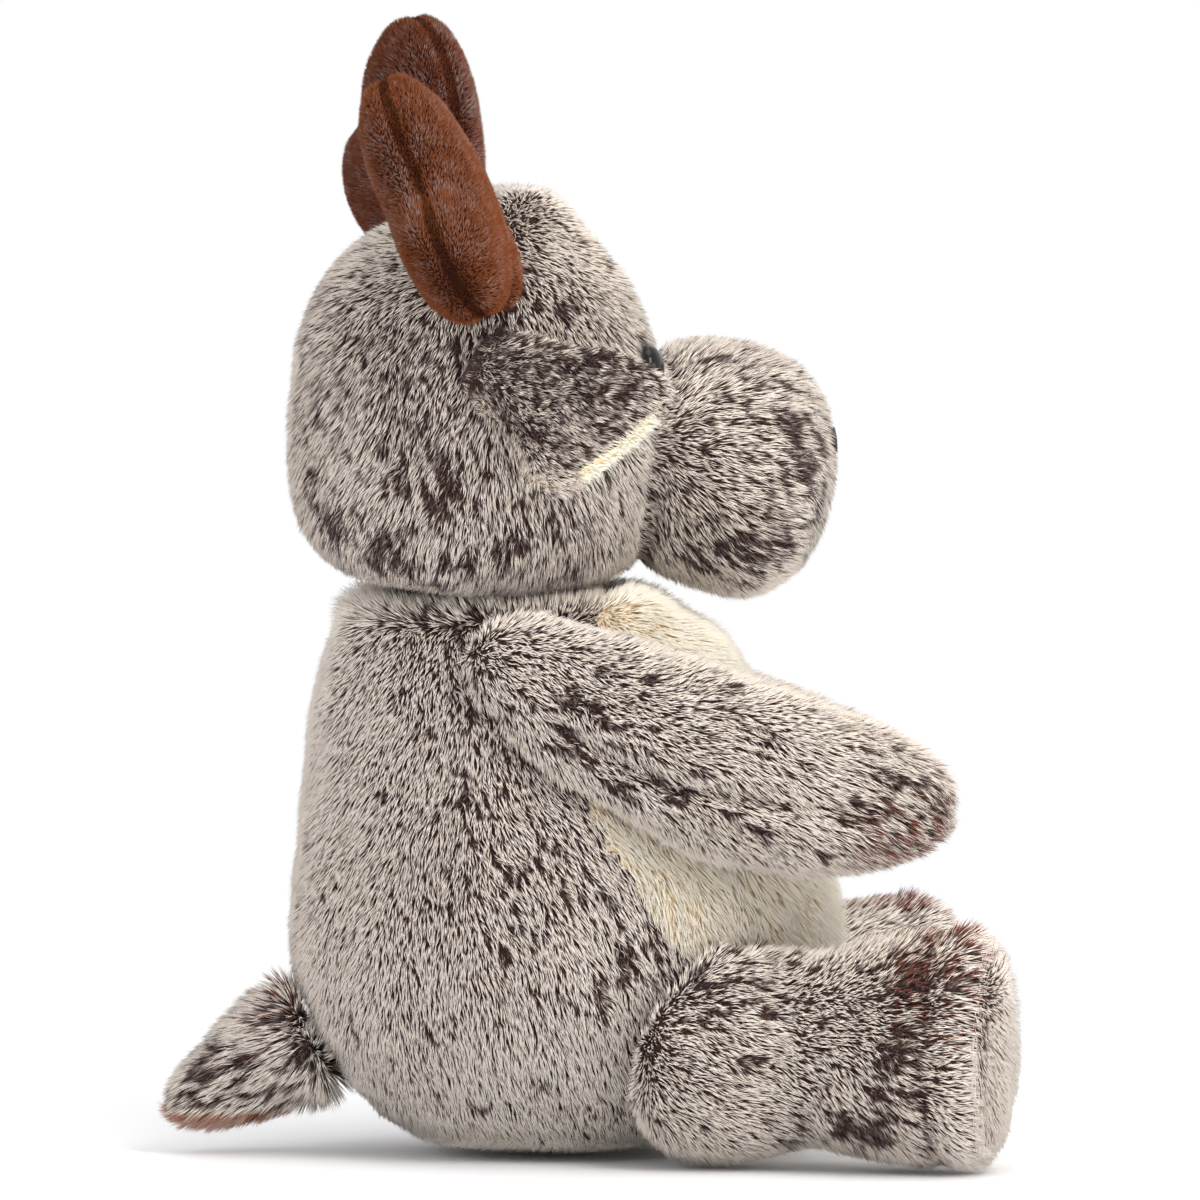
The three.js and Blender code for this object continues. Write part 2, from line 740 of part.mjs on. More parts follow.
/** The leg on the deer's right: a thick tube that turns up into a foot with a sole of its own. */
function legPieces() {
  const rise = footHeight / 2 - floorCut - hipLevel;
  const stations = legShares.map(([along, lift, legShare, footShare]) => ({
    at: hip.clone().add(new THREE.Vector3(along * legReach, -along * legSpread, lift * rise)),
    wide: (legShare * legWidth + footShare * footWidth) / 2,
    high: (legShare * legHeight + footShare * footHeight) / 2,
  }));
  const outwardTurn = Math.atan2(legSpread, legReach);
  const across = leftward.clone().applyAxisAngle(upward, -outwardTurn);
  const form = formPair(stations, across, upward, limbSides, smallSides);
  const floor = space(new THREE.Vector3(), upward.clone().negate());
  const core = sweepSpace(torso.outer, hip, upward, -legRange, legRange);
  const pair = stuffedPair(form, cloth, core.add(floor));
  const along = forward.clone().applyAxisAngle(upward, -outwardTurn);
  const toe = stations[stations.length - 1].at;
  const seam = toe.clone().addScaledVector(along, -soleDepth);
  return {
    skin: pair.skin.subtract(space(seam.clone().addScaledVector(along, -gap), along)),
    sole: pair.skin.intersect(space(seam, along)),
    fill: pair.fill,
  };
}

/** The tail: a plump drop with a brown underside. */
function tailPieces() {
  const span = new THREE.Vector3(-tailReach, 0, -tailFall);
  const stations = limbStations(tailShares, tailRoot, span, tailWidth, tailHeight);
  const form = formPair(stations, leftward, upward, linerSides, smallSides);
  const core = sweepSpace(torso.outer, tailRoot, upward, -tailRange, tailRange);
  const pair = stuffedPair(form, cloth, core);
  const down = upward.clone().negate();
  const seam = tailRoot.clone().addScaledVector(down, tailHeight * tailSeamShare);
  return {
    upper: pair.skin.subtract(space(seam.clone().addScaledVector(down, -gap), down)),
    under: pair.skin.intersect(space(seam, down)),
    fill: pair.fill,
  };
}

/** The ear on one side: two leaves of cloth sewn round the rim, the pale one inside. */
function earPieces(side) {
  const along = forward.clone().applyAxisAngle(upward, -radians(earOutTurn));
  const tip = along.clone().multiplyScalar(earLength).addScaledVector(upward, earRise);
  const lengthwise = tip.clone().normalize();
  const broad = upward.clone().applyAxisAngle(lengthwise, -radians(earTilt));
  const through = new THREE.Vector3().crossVectors(lengthwise, broad).normalize();
  const stations = earShares.map(([share, drop, cup, widthShare, thickShare]) => ({
    at: earRoot
      .clone()
      .addScaledVector(tip, share)
      .addScaledVector(broad, drop * earWidth)
      .addScaledVector(through, cup * earWidth),
    wide: (widthShare * earWidth) / 2,
    high: (thickShare * earThickness) / 2,
  }));
  const whole = solid(softForm(stations, broad, through, limbSides));
  const core = sweepSpace(head.outer, earRoot, upward, -earRange, earRange).add(antlerSpace(side));
  const leaf = whole.subtract(core);
  const facing = through.y < 0 ? through.clone() : through.clone().negate();
  const outward = facing.applyAxisAngle(lengthwise, -radians(earSeamTurn));
  const middle = stations[Math.floor(earSeamShare * stations.length)].at.clone();
  const inward = outward.clone().negate();
  return {
    back: leaf.intersect(space(middle.clone().addScaledVector(outward, gap / 2), outward)),
    lining: leaf.intersect(space(middle.clone().addScaledVector(inward, gap / 2), inward)),
  };
}

/** The space that the antler bends through, as the ear on its side sees it, on the deer's right. */
function antlerSpace(side) {
  const { stand, root } = antlerStand(side);
  const pad = stand(antlerPad(-sweepClearance, padSides));
  const whole = solid(side === 'left' ? mirrored(pad) : pad);
  const pivot = onSide(root, side);
  const bent = swept(whole, pivot, leftward, [-antlerRange, 0, antlerRange]);
  return swept(bent, earRoot, upward, sweepAngles(-earRange, earRange));
}

/** A padded antler in its own frame: outward along x, up along y and its thickness along z. */
function antlerPad(inset, sides) {
  const outline = new THREE.CatmullRomCurve3(
    antlerShares.map(([out, rise]) => new THREE.Vector3(out * antlerSpan, rise * antlerHeight, 0)),
    true,
  );
  const rim = outline.getPoints(sides).slice(0, sides);
  const [heartOut, heartRise] = antlerHeartShares;
  const heart = new THREE.Vector3(heartOut * antlerSpan, heartRise * antlerHeight, 0);
  const layers = [...padShares.slice(1), ...padShares.slice(1, -1).reverse()];
  const points = [heart.clone().setZ(antlerThickness / 2)];
  layers.forEach(([along, full], layer) => {
    const side = layer < padShares.length - 1 ? 1 : -1;
    for (const corner of rim) {
      const point = heart.clone().lerp(corner, along);
      points.push(point.setZ((side * full * antlerThickness) / 2));
    }
  });
  points.push(heart.clone().setZ(-antlerThickness / 2));
  return grown(stitched(points, layers.length + 1, sides), -inset);
}

/** How the antler on one side stands: its root, the way its front faces and what puts its pad there. */
function antlerStand(side) {
  const hand = side === 'left' ? 1 : -1;
  const root = onSide(antlerRoot, side);
  const sweep = radians(antlerSweepTurn);
  const outward = new THREE.Vector3(-Math.sin(sweep), hand * Math.cos(sweep), 0);
  const rise = upward.clone().applyAxisAngle(leftward, -radians(antlerLean[side]));
  rise.addScaledVector(outward, -rise.dot(outward)).normalize();
  const ahead = new THREE.Vector3().crossVectors(outward, rise).multiplyScalar(-hand);
  const basis = new THREE.Matrix4().makeBasis(outward, rise, ahead).setPosition(root);
  return { root, ahead, stand: (form) => outwards(form.applyMatrix4(basis)) };
}

/** The antler on one side: front and back panels sewn round the rim over stuffing. */
function antlerPieces(side) {
  const { root, ahead, stand } = antlerStand(side);
  const core = sweepSpace(head.outer, root, leftward, -antlerRange, antlerRange);
  const lining = solid(stand(antlerPad(shortCloth, padSides / 2)));
  const skin = solid(stand(antlerPad(0, padSides))).subtract(lining).subtract(core);
  const fill = solid(stand(antlerPad(shortCloth + gap, padSides / 2))).subtract(core);
  return {
    front: skin.intersect(space(root.clone().addScaledVector(ahead, gap / 2), ahead)),
    back: skin.intersect(space(root.clone().addScaledVector(ahead, -gap / 2), ahead.clone().negate())),
    fill,
  };
}

/** The pieces of one side as meshes, mirrored for the left. */
function sidePieces(side, solids, names, finishes) {
  return Object.keys(names).map((key) => {
    const geometry = geometryOf(solids[key]);
    const sided = side === 'left' ? mirrored(geometry) : geometry;
    return piece(`${names[key]}_${side}`, sided, finishes[key]);
  });
}

const neckMesh = piece('neck_stuffing', geometryOf(solid(neckForm(0, 0))), stuffing);
const neckGroup = bodyGroup('neck', neckPivot, [neckMesh]);
const headGroup = bodyGroup('head', neckPivot, headPieces());
const torsoGroup = bodyGroup('torso', new THREE.Vector3(), torsoPieces());
const [leg, tail] = [legPieces(), tailPieces()];
for (const side of ['right', 'left']) {
  const arm = armPieces(side);
  const armMeshes = [
    piece(`arm_skin_${side}`, geometryOf(arm.skin), plush),
    piece(`arm_stuffing_${side}`, geometryOf(arm.fill), stuffing),
  ];
  torsoGroup.attach(bodyGroup(`arm_${side}`, onSide(shoulder, side), armMeshes));
  const legNames = { skin: 'leg_skin', sole: 'foot_sole', fill: 'leg_stuffing' };
  const legMeshes = sidePieces(side, leg, legNames, { skin: plush, sole: plush, fill: stuffing });
  torsoGroup.attach(bodyGroup(`leg_${side}`, onSide(hip, side), legMeshes));
  const earNames = { back: 'ear_back', lining: 'ear_lining' };
  const earMeshes = sidePieces(side, earPieces(side), earNames, { back: plush, lining: cream });
  headGroup.attach(bodyGroup(`ear_${side}`, onSide(earRoot, side), earMeshes));
  const antler = antlerPieces(side);
  const antlerMeshes = [
    piece(`antler_front_${side}`, geometryOf(antler.front), antlerFront),
    piece(`antler_back_${side}`, geometryOf(antler.back), antlerBack),
    piece(`antler_stuffing_${side}`, geometryOf(antler.fill), stuffing),
  ];
  headGroup.attach(bodyGroup(`antler_${side}`, onSide(antlerRoot, side), antlerMeshes));
}
const tailMeshes = [
  piece('tail_skin', geometryOf(tail.upper), plush),
  piece('tail_underside', geometryOf(tail.under), tailBrown),
  piece('tail_stuffing', geometryOf(tail.fill), stuffing),
];
torsoGroup.attach(bodyGroup('tail', tailRoot, tailMeshes));
headGroup.quaternion.copy(headPose);
neckGroup.attach(headGroup);
torsoGroup.attach(neckGroup);

// The origin is on the floor, under the middle of the whole toy
const group = new THREE.Group();
group.add(torsoGroup);
const middle = new THREE.Box3().setFromObject(group, true).getCenter(new THREE.Vector3());
torsoGroup.position.set(-middle.x, -middle.y, 0);

export default group;
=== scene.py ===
"""The looks of a seated plush deer of the moose kind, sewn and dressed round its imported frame.

Lengths are in metres, in the frame's own axes: the deer faces +X, its left side is +Y and +Z is up.
"""

import json
import logging
import math
from collections.abc import Callable, Sequence
from dataclasses import dataclass, field
from enum import Enum

import bmesh
import bpy
import numpy as np
from mathutils import Matrix, Vector
from mathutils.bvhtree import BVHTree
from mathutils.kdtree import KDTree

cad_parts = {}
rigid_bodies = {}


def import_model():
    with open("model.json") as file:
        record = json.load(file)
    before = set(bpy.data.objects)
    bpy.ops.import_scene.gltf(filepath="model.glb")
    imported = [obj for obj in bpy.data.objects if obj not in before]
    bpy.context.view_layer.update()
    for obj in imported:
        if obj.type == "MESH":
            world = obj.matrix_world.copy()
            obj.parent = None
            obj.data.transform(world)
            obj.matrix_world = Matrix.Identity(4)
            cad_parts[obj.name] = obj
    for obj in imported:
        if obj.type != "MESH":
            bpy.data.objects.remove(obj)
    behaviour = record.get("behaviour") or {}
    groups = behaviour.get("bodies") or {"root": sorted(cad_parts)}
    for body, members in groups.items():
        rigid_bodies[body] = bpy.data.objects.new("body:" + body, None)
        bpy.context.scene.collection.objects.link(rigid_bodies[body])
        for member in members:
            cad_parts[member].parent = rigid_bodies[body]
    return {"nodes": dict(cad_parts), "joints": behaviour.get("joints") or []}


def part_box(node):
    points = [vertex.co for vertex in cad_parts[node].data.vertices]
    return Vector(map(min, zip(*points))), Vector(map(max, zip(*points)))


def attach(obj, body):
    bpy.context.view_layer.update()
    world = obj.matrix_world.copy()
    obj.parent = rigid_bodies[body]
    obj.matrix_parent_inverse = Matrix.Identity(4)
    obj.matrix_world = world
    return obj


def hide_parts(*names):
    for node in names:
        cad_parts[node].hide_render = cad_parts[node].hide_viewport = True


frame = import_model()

log = logging.getLogger("plush_deer")
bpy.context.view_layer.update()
MM = 0.001
FLOOR = 0.4 * MM
NECK = next(Vector(joint["pos_m"]) for joint in frame["joints"] if joint["name"] == "head_turn")
Comb = Callable[[np.ndarray, np.ndarray], np.ndarray]
Field = Callable[[np.ndarray], np.ndarray]
Colour = tuple[float, float, float, float]


class Side(Enum):
    """One of the deer's two sides."""

    RIGHT = "right"
    LEFT = "left"

    @property
    def sign(self) -> float:
        """The sign of Y on this side."""
        return -1.0 if self is Side.RIGHT else 1.0


# Numbers and small tools


def written(code: str) -> Colour:
    """Turns a colour as it is written on a screen into the numbers that a shader takes.

    Args:
        code: Six hexadecimal digits, red first.

    Returns:
        The linear colour with an alpha of one.
    """
    parts = [int(code[i : i + 2], 16) / 255 for i in (0, 2, 4)]
    linear = [p / 12.92 if p <= 0.04045 else ((p + 0.055) / 1.055) ** 2.4 for p in parts]
    return (linear[0], linear[1], linear[2], 1.0)


def unit(rows: np.ndarray) -> np.ndarray:
    """Scales each row to a length of one."""
    return rows / np.maximum(np.linalg.norm(rows, axis=1, keepdims=True), 1e-12)


def smooth_step(low: float, high: float, values: np.ndarray) -> np.ndarray:
    """A soft ramp from 0 at low to 1 at high."""
    t = np.clip((values - low) / (high - low), 0.0, 1.0)
    return t * t * (3 - 2 * t)


class Drift:
    """Smooth noise in space from a seeded lattice, from -1 to 1, the same on each run."""

    cells = 24
    start = 500.0

    def __init__(self, seed: int, size: float) -> None:
        """Makes the lattice.

        Args:
            seed: The seed of the lattice.
            size: The distance between two of its points.
        """
        self.size = size
        self.lattice = np.random.default_rng(seed).uniform(-1, 1, (self.cells, self.cells, self.cells))

    def __call__(self, places: np.ndarray) -> np.ndarray:
        """The noise at each place."""
        at = places / self.size + self.start
        low = np.floor(at).astype(int)
        part = at - low
        part = part * part * (3 - 2 * part)
        total = np.zeros(len(places))
        for corner in range(8):
            step = np.array([(corner >> axis) & 1 for axis in range(3)])
            weight = np.where(step, part, 1 - part).prod(1)
            cell = (low + step) % self.cells
            total += weight * self.lattice[cell[:, 0], cell[:, 1], cell[:, 2]]
        return total


def deselect_all() -> None:
    """Leaves nothing selected, so that the next operator acts on its own object only."""
    for obj in bpy.context.scene.objects:
        obj.select_set(False)
    bpy.context.view_layer.objects.active = None


def pick(*objects: bpy.types.Object) -> None:
    """Selects objects alone and makes the first of them the active one."""
    deselect_all()
    for obj in objects:
        obj.select_set(True)
    bpy.context.view_layer.objects.active = objects[0]


def new_object(name: str, data: bpy.types.ID) -> bpy.types.Object:
    """A new object of the scene that holds the given mesh, lamp or camera."""
    obj = bpy.data.objects.new(name, data)
    bpy.context.scene.collection.objects.link(obj)
    return obj


def new_ball(segments: int, rings: int, radius: float) -> bpy.types.Object:
    """A new ball at the middle of the scene."""
    deselect_all()
    bpy.ops.mesh.primitive_uv_sphere_add(segments=segments, ring_count=rings, radius=radius)
    return bpy.context.object


def stand(obj: bpy.types.Object, axis: np.ndarray, place: np.ndarray) -> None:
    """Turns an object's mesh from upright to an axis, moves it to a place and selects it."""
    turn = Vector((0, 0, 1)).rotation_difference(Vector(axis)).to_matrix().to_4x4()
    obj.data.transform(Matrix.Translation(Vector(place)) @ turn)
    pick(obj)


def apply_modifiers(obj: bpy.types.Object) -> None:
    """Applies the modifiers of an object in their order."""
    pick(obj)
    for modifier in list(obj.modifiers):
        bpy.ops.object.modifier_apply(modifier=modifier.name)


def vertex_rows(obj: bpy.types.Object, key: str) -> np.ndarray:
    """A vector property of the vertices of an object's mesh, one row each."""
    flat = np.empty(len(obj.data.vertices) * 3, np.float32)
    obj.data.vertices.foreach_get(key, flat)
    return flat.reshape(-1, 3).astype(float)


def places_of(obj: bpy.types.Object) -> np.ndarray:
    """The vertices of an object's mesh, one row each."""
    return vertex_rows(obj, "co")


def normals_of(obj: bpy.types.Object) -> np.ndarray:
    """The smooth normals at the vertices of an object's mesh, one row each."""
    return vertex_rows(obj, "normal")


def middle_of(node: str) -> np.ndarray:
    """The middle of a CAD node's vertices."""
    return places_of(frame["nodes"][node]).mean(0)


def put_places(obj: bpy.types.Object, places: np.ndarray) -> None:
    """Moves the vertices of an object's mesh to new places."""
    obj.data.vertices.foreach_set("co", places.astype(np.float32).ravel())
    obj.data.update()


# Node trees


class Graph:
    """A node tree that is written down node by node."""

    def __init__(self, tree: bpy.types.NodeTree) -> None:
        """Keeps the tree."""
        self.tree = tree

    def feed(self, node: bpy.types.Node, inputs: dict) -> bpy.types.Node:
        """Fills inputs of a node.

        Args:
            node: The node.
            inputs: Values, or sockets to link from, by the name or number of the input.

        Returns:
            The same node.
        """
        for key, value in inputs.items():
            if isinstance(value, bpy.types.NodeSocket):
                self.tree.links.new(value, node.inputs[key])
            else:
                node.inputs[key].default_value = value
        return node

    def node(self, kind: str, inputs: dict | None = None, **settings: object) -> bpy.types.Node:
        """Adds a node.

        Args:
            kind: The node's type name, without its ShaderNode prefix.
            inputs: Values, or sockets to link from, by the name or number of the input.
            settings: Properties of the node.

        Returns:
            The new node.
        """
        made = self.tree.nodes.new(f"ShaderNode{kind}")
        for name, value in settings.items():
            setattr(made, name, value)
        return self.feed(made, inputs or {})

    def ramp(self, value: bpy.types.NodeSocket, low: float, high: float) -> bpy.types.NodeSocket:
        """A soft ramp of a value from 0 at low to 1 at high."""
        settings = {"interpolation_type": "SMOOTHSTEP"}
        made = self.node("MapRange", {"Value": value, "From Min": low, "From Max": high}, **settings)
        return made.outputs["Result"]

    def blend(self, share: object, first: object, second: object, way: str = "MIX") -> bpy.types.NodeSocket:
        """A mix of two colours.

        Args:
            share: How much there is of the second colour.
            first: The first colour.
            second: The second colour.
            way: The blend type.

        Returns:
            The socket of the mixed colour.
        """
        inputs = {0: share, 6: first, 7: second}
        return self.node("Mix", inputs, data_type="RGBA", blend_type=way, clamp_result=True).outputs[2]

    def math(self, way: str, first: object, second: object = 0.5) -> bpy.types.NodeSocket:
        """A sum on one or two values."""
        return self.node("Math", {0: first, 1: second}, operation=way).outputs[0]


PILE_MAP = "OFBake"
WHITE: Colour = (1.0, 1.0, 1.0, 1.0)
WARM_STRAND = 0.05
WARM_BELOW = 0.1
DARKEST = 0.14
PALEST = 0.92


def new_group(
    name: str, takes: dict[str, str], gives: dict[str, str]
) -> tuple[Graph, bpy.types.Node, bpy.types.Node]:
    """A fresh node group.

    Args:
        name: The group's name.
        takes: The kinds of its inputs by their names.
        gives: The kinds of its outputs by their names.

    Returns:
        Its graph, the node of what it is given and the node of what it gives.
    """
    group = bpy.data.node_groups.new(name, "ShaderNodeTree")
    for way, sockets in (("INPUT", takes), ("OUTPUT", gives)):
        for label, kind in sockets.items():
            group.interface.new_socket(name=label, in_out=way, socket_type=f"NodeSocket{kind}")
    return Graph(group), group.nodes.new("NodeGroupInput"), group.nodes.new("NodeGroupOutput")


def pile_colour_group() -> bpy.types.NodeTree:
    """The colour of a pile along its strands, dark at the root and pale at the tip.

    Its vector is the pile's own map: across is how pale the strand is, and up is from root to tip. Strands at
    the map's left edge are warm brown all along.

    Returns:
        The node group.
    """
    found = bpy.data.node_groups.get("pile_colour")
    if found:
        return found
    colours = {label: "Color" for label in ("Root", "Middle", "Tip", "Dark", "Warm")}
    graph, given, out = new_group("pile_colour", {"Place": "Vector", **colours}, {"Colour": "Color"})
    split = graph.node("SeparateXYZ", {0: given.outputs["Place"]})
    pale, along = split.outputs[0], split.outputs[1]
    root = given.outputs["Root"]
    lower = graph.blend(graph.ramp(along, 0.02, 0.22), root, given.outputs["Middle"])
    whole = graph.blend(graph.ramp(along, 0.18, 0.5), lower, given.outputs["Tip"])
    dim = graph.blend(graph.ramp(along, 0.1, 0.9), root, given.outputs["Dark"])
    toned = graph.blend(graph.ramp(pale, DARKEST, 0.6), dim, whole)
    light = graph.math("MULTIPLY", graph.ramp(pale, 0.55, 1.0), 0.3)
    lit = graph.blend(light, toned, WHITE, "SCREEN")
    warm = graph.blend(graph.ramp(along, 0.1, 0.7), root, given.outputs["Warm"])
    graph.feed(out, {"Colour": graph.blend(graph.math("LESS_THAN", pale, WARM_BELOW), lit, warm)})
    return graph.tree


def knit_group() -> bpy.types.NodeTree:
    """A fine knit: rows of small loops as a height, and a mask of its worn threads.

    Returns:
        The node group.
    """
    found = bpy.data.node_groups.get("knit")
    if found:
        return found
    takes, gives = {"Place": "Vector", "Loops": "Float"}, {"Height": "Float", "Worn": "Float"}
    graph, given, out = new_group("knit", takes, gives)
    place = given.outputs["Place"]
    loops = graph.node("TexVoronoi", {"Vector": place, "Scale": given.outputs["Loops"]})
    noise = graph.node("TexNoise", {"Vector": place, "Scale": 260.0, "Detail": 4.0}).outputs["Fac"]
    height = graph.math("MULTIPLY", loops.outputs["Distance"], noise)
    graph.feed(out, {"Height": height, "Worn": graph.ramp(noise, 0.35, 0.75)})
    return graph.tree


def new_material(name: str) -> tuple[bpy.types.Material, Graph, bpy.types.Node]:
    """A fresh material with one Principled shader.

    Args:
        name: The material's name.

    Returns:
        The material, its graph and its Principled node.
    """
    material = bpy.data.materials.new(name)
    material.use_nodes = True
    shader = next(n for n in material.node_tree.nodes if n.type == "BSDF_PRINCIPLED")
    return material, Graph(material.node_tree), shader


@dataclass(frozen=True)
class Finish:
    """The finish of one kind of piece."""

    name: str

    def material(self) -> bpy.types.Material:
        """The finish's material, made once."""
        found = bpy.data.materials.get(self.name)
        if found:
            return found
        material, graph, shader = new_material(self.name)
        graph.feed(shader, self.inputs(graph))
        return material

    def inputs(self, graph: Graph) -> dict:
        """What goes into the material's shader.

        Args:
            graph: The material's graph.

        Returns:
            Values and sockets by the name of the shader's input.
        """
        raise NotImplementedError


@dataclass(frozen=True)
class PileFinish(Finish):
    """The finish of a pile: the colours of its strands from root to tip."""

    root: str
    middle: str
    tip: str
    dark: str
    warm: str
    roughness: float = 0.72
    sheen: float = 0.25

    def inputs(self, graph: Graph) -> dict:
        """The colours along the strands, which the pile's map tells, and a soft sheen."""
        keys = ("root", "middle", "tip", "dark", "warm")
        given = {key.title(): written(getattr(self, key)) for key in keys}
        given["Place"] = graph.node("UVMap", uv_map=PILE_MAP).outputs["UV"]
        return {
            "Base Color": graph.node("Group", given, node_tree=pile_colour_group()).outputs["Colour"],
            "Roughness": self.roughness,
            "Specular IOR Level": 0.12,
            "Sheen Weight": self.sheen,
            "Sheen Roughness": 0.45,
        }


@dataclass(frozen=True)
class ClothFinish(Finish):
    """The finish of a knitted or woven cloth."""

    colour: str
    worn: str
    loops: float = 900.0
    depth: float = 0.3
    roughness: float = 0.9
    worn_share: float = 0.7
    loop_height: float = 0.6 * MM

    def inputs(self, graph: Graph) -> dict:
        """The cloth's colour with its worn threads, and the loops of its knit."""
        given = {"Place": graph.node("TexCoord").outputs["Object"], "Loops": self.loops}
        knit = graph.node("Group", given, node_tree=knit_group()).outputs
        share = graph.math("MULTIPLY", knit["Worn"], self.worn_share)
        relief = {"Strength": self.depth, "Distance": self.loop_height, "Height": knit["Height"]}
        return {
            "Base Color": graph.blend(share, written(self.colour), written(self.worn)),
            "Normal": graph.node("Bump", relief).outputs["Normal"],
            "Roughness": self.roughness,
            "Specular IOR Level": 0.2,
        }


@dataclass(frozen=True)
class GlossFinish(Finish):
    """The finish of a hard plastic button or washer."""

    colour: str
    depth_colour: str
    roughness: float
    coat: float
    gloss: float = 0.5
    wear: float = 1.6

    def inputs(self, graph: Graph) -> dict:
        """The plastic's colour, which drifts a little, and its gloss."""
        place = graph.node("TexCoord").outputs["Object"]
        noise = graph.node("TexNoise", {"Vector": place, "Scale": 420.0, "Detail": 3.0}).outputs["Fac"]
        ends = {"Value": noise, "To Min": self.roughness, "To Max": self.roughness * self.wear}
        return {
            "Base Color": graph.blend(noise, written(self.colour), written(self.depth_colour)),
            "Roughness": graph.node("MapRange", ends).outputs["Result"],
            "Specular IOR Level": self.gloss,
            "Coat Weight": self.coat,
            "Coat Roughness": 0.04,
        }


FROSTED = PileFinish("frosted_plush", "321d1a", "a08c86", "f7ebde", "4f3530", "7d4030", 0.8, 0.15)
CREAM = PileFinish("cream_plush", "ecd3a6", "fcebcc", "fff7e6", "f2debb", "f5e2c0", 0.8, 0.05)
EAR_CREAM = PileFinish("ear_lining_plush", "d9c998", "f6eecb", "fffbe9", "e8dcb4", "efe4bd")
TAIL_BROWN = PileFinish("tail_brown_plush", "341610", "864424", "b8754a", "5a2c1c", "8a4c33")
ANTLER = PileFinish("antler_velvet", "210c07", "40180c", "7c4323", "30160a", "7a4424", 0.85, 0.0)
# The left antler's velvet is a darker copy of the right one's: painted shade.
ANTLER_PAINTED_SHADE = PileFinish("antler_velvet_painted_shade", "1e0b07", "3a160b", "6c3820", "2c140a", "58321f", 0.85, 0.0)
BACKING = ClothFinish("plush_backing", "2c1a16", "46302b")
CREAM_BACKING = ClothFinish("cream_backing", "ebd4ab", "f5e3c2")
ANTLER_BACKING = ClothFinish("antler_backing", "35160b", "45200f")
# The left antler's backing is a darker copy of the right one's: painted shade.
ANTLER_PAINTED_SHADE_BACKING = ClothFinish("antler_backing_painted_shade", "2f130b", "3d1c11")
BAG_CLOTH = ClothFinish("bag_canvas", "d3ccbc", "b9b2a2", 600.0, 0.5)
THREAD = ClothFinish("brown_thread", "2b1a17", "4a302a", 2600.0, 0.5, 0.55)
EYE_BLACK = GlossFinish("eye_black_gloss", "090505", "140b08", 0.08, 0.1, 0.25)
WASHER_WHITE = GlossFinish("washer_nylon", "e4e4de", "d2d2cb", 0.35, 0.1)


# Cloth forms


class Skin:
    """The triangles of a cloth form with their smooth normals, which a pile grows from."""

    def __init__(self, obj: bpy.types.Object) -> None:
        """Reads the triangles.

        Args:
            obj: The cloth form.
        """
        mesh = obj.data
        mesh.calc_loop_triangles()
        corners = np.empty(len(mesh.loop_triangles) * 3, np.int32)
        mesh.loop_triangles.foreach_get("vertices", corners)
        self.corners = corners.reshape(-1, 3)
        self.places = places_of(obj)
        self.normals = normals_of(obj)
        self.tree = BVHTree.FromPolygons(self.places.tolist(), self.corners.tolist())
        a, b, c = (self.places[self.corners[:, i]] for i in range(3))
        self.areas = np.linalg.norm(np.cross(b - a, c - a), axis=1) / 2

    def scatter(self, density: float, seed: int) -> tuple[np.ndarray, np.ndarray]:
        """Spreads places evenly over the whole form.

        Args:
            density: How many there are to a square millimetre.
            seed: The seed of the spread.

        Returns:
            The places and the normals there.
        """
        rng = np.random.default_rng(seed)
        total = self.areas.sum()
        count = int(total * 1e6 * density)
        steps = (np.arange(count) + rng.random(count)) / count * total
        face = np.minimum(np.searchsorted(np.cumsum(self.areas), steps), len(self.areas) - 1)
        u, v = rng.random((2, count))
        over = u + v > 1
        u[over], v[over] = 1 - u[over], 1 - v[over]
        share = np.stack([1 - u - v, u, v], 1)[:, :, None]
        corners = self.corners[face]
        places = (self.places[corners] * share).sum(1)
        return places, unit((self.normals[corners] * share).sum(1))


class Panels:
    """The CAD panels that cover a form, to tell which one a place belongs to."""

    furthest = 0.05

    def __init__(self, names: Sequence[str]) -> None:
        """Keeps a search tree of each panel.

        Args:
            names: The panels' nodes.
        """
        self.trees = [Skin(frame["nodes"][name]).tree for name in names]

    def sort(self, places: np.ndarray) -> tuple[np.ndarray, np.ndarray]:
        """Finds each place's panel.

        Args:
            places: Places near the panels.

        Returns:
            The number of the nearest panel, and how much further off the next one is.
        """
        if len(self.trees) == 1:
            return np.zeros(len(places), int), np.full(len(places), 1.0)
        far = np.empty((len(self.trees), len(places)))
        for row, tree in enumerate(self.trees):
            for column, place in enumerate(places.tolist()):
                hit = tree.find_nearest(place, self.furthest)
                far[row, column] = hit[3] if hit[0] is not None else self.furthest
        near = far.argmin(0)
        ordered = np.sort(far, axis=0)
        return near, ordered[1] - ordered[0]


def joined_copy(name: str, nodes: Sequence[str]) -> bpy.types.Object:
    """One object that holds copies of CAD nodes with their loose triangles merged.

    Args:
        name: The new object's name.
        nodes: The nodes to copy.

    Returns:
        The new object.
    """
    copies = [new_object(name, frame["nodes"][node].data.copy()) for node in nodes]
    pick(*copies)
    if len(copies) > 1:
        bpy.ops.object.join()
    whole = copies[0]
    whole.name = name
    whole.data.name = name
    pick(whole)
    bpy.ops.object.mode_set(mode="EDIT")
    bpy.ops.mesh.select_all(action="SELECT")
    bpy.ops.mesh.remove_doubles(threshold=1e-6)
    bpy.ops.object.mode_set(mode="OBJECT")
    whole.data.materials.clear()
    return whole


def keep_largest(obj: bpy.types.Object) -> None:
    """Takes out all but the largest connected part of a mesh."""
    mesh = bmesh.new()
    mesh.from_mesh(obj.data)
    left = set(mesh.verts)
    best: set = set()
    while left:
        start = left.pop()
        part = {start}
        front = [start]
        while front:
            vert = front.pop()
            for edge in vert.link_edges:
                other = edge.other_vert(vert)
                if other in left:
                    left.discard(other)
                    part.add(other)
                    front.append(other)
        if len(part) > len(best):
            best = part
    bmesh.ops.delete(mesh, geom=[v for v in mesh.verts if v not in best], context="VERTS")
    mesh.to_mesh(obj.data)
    mesh.free()


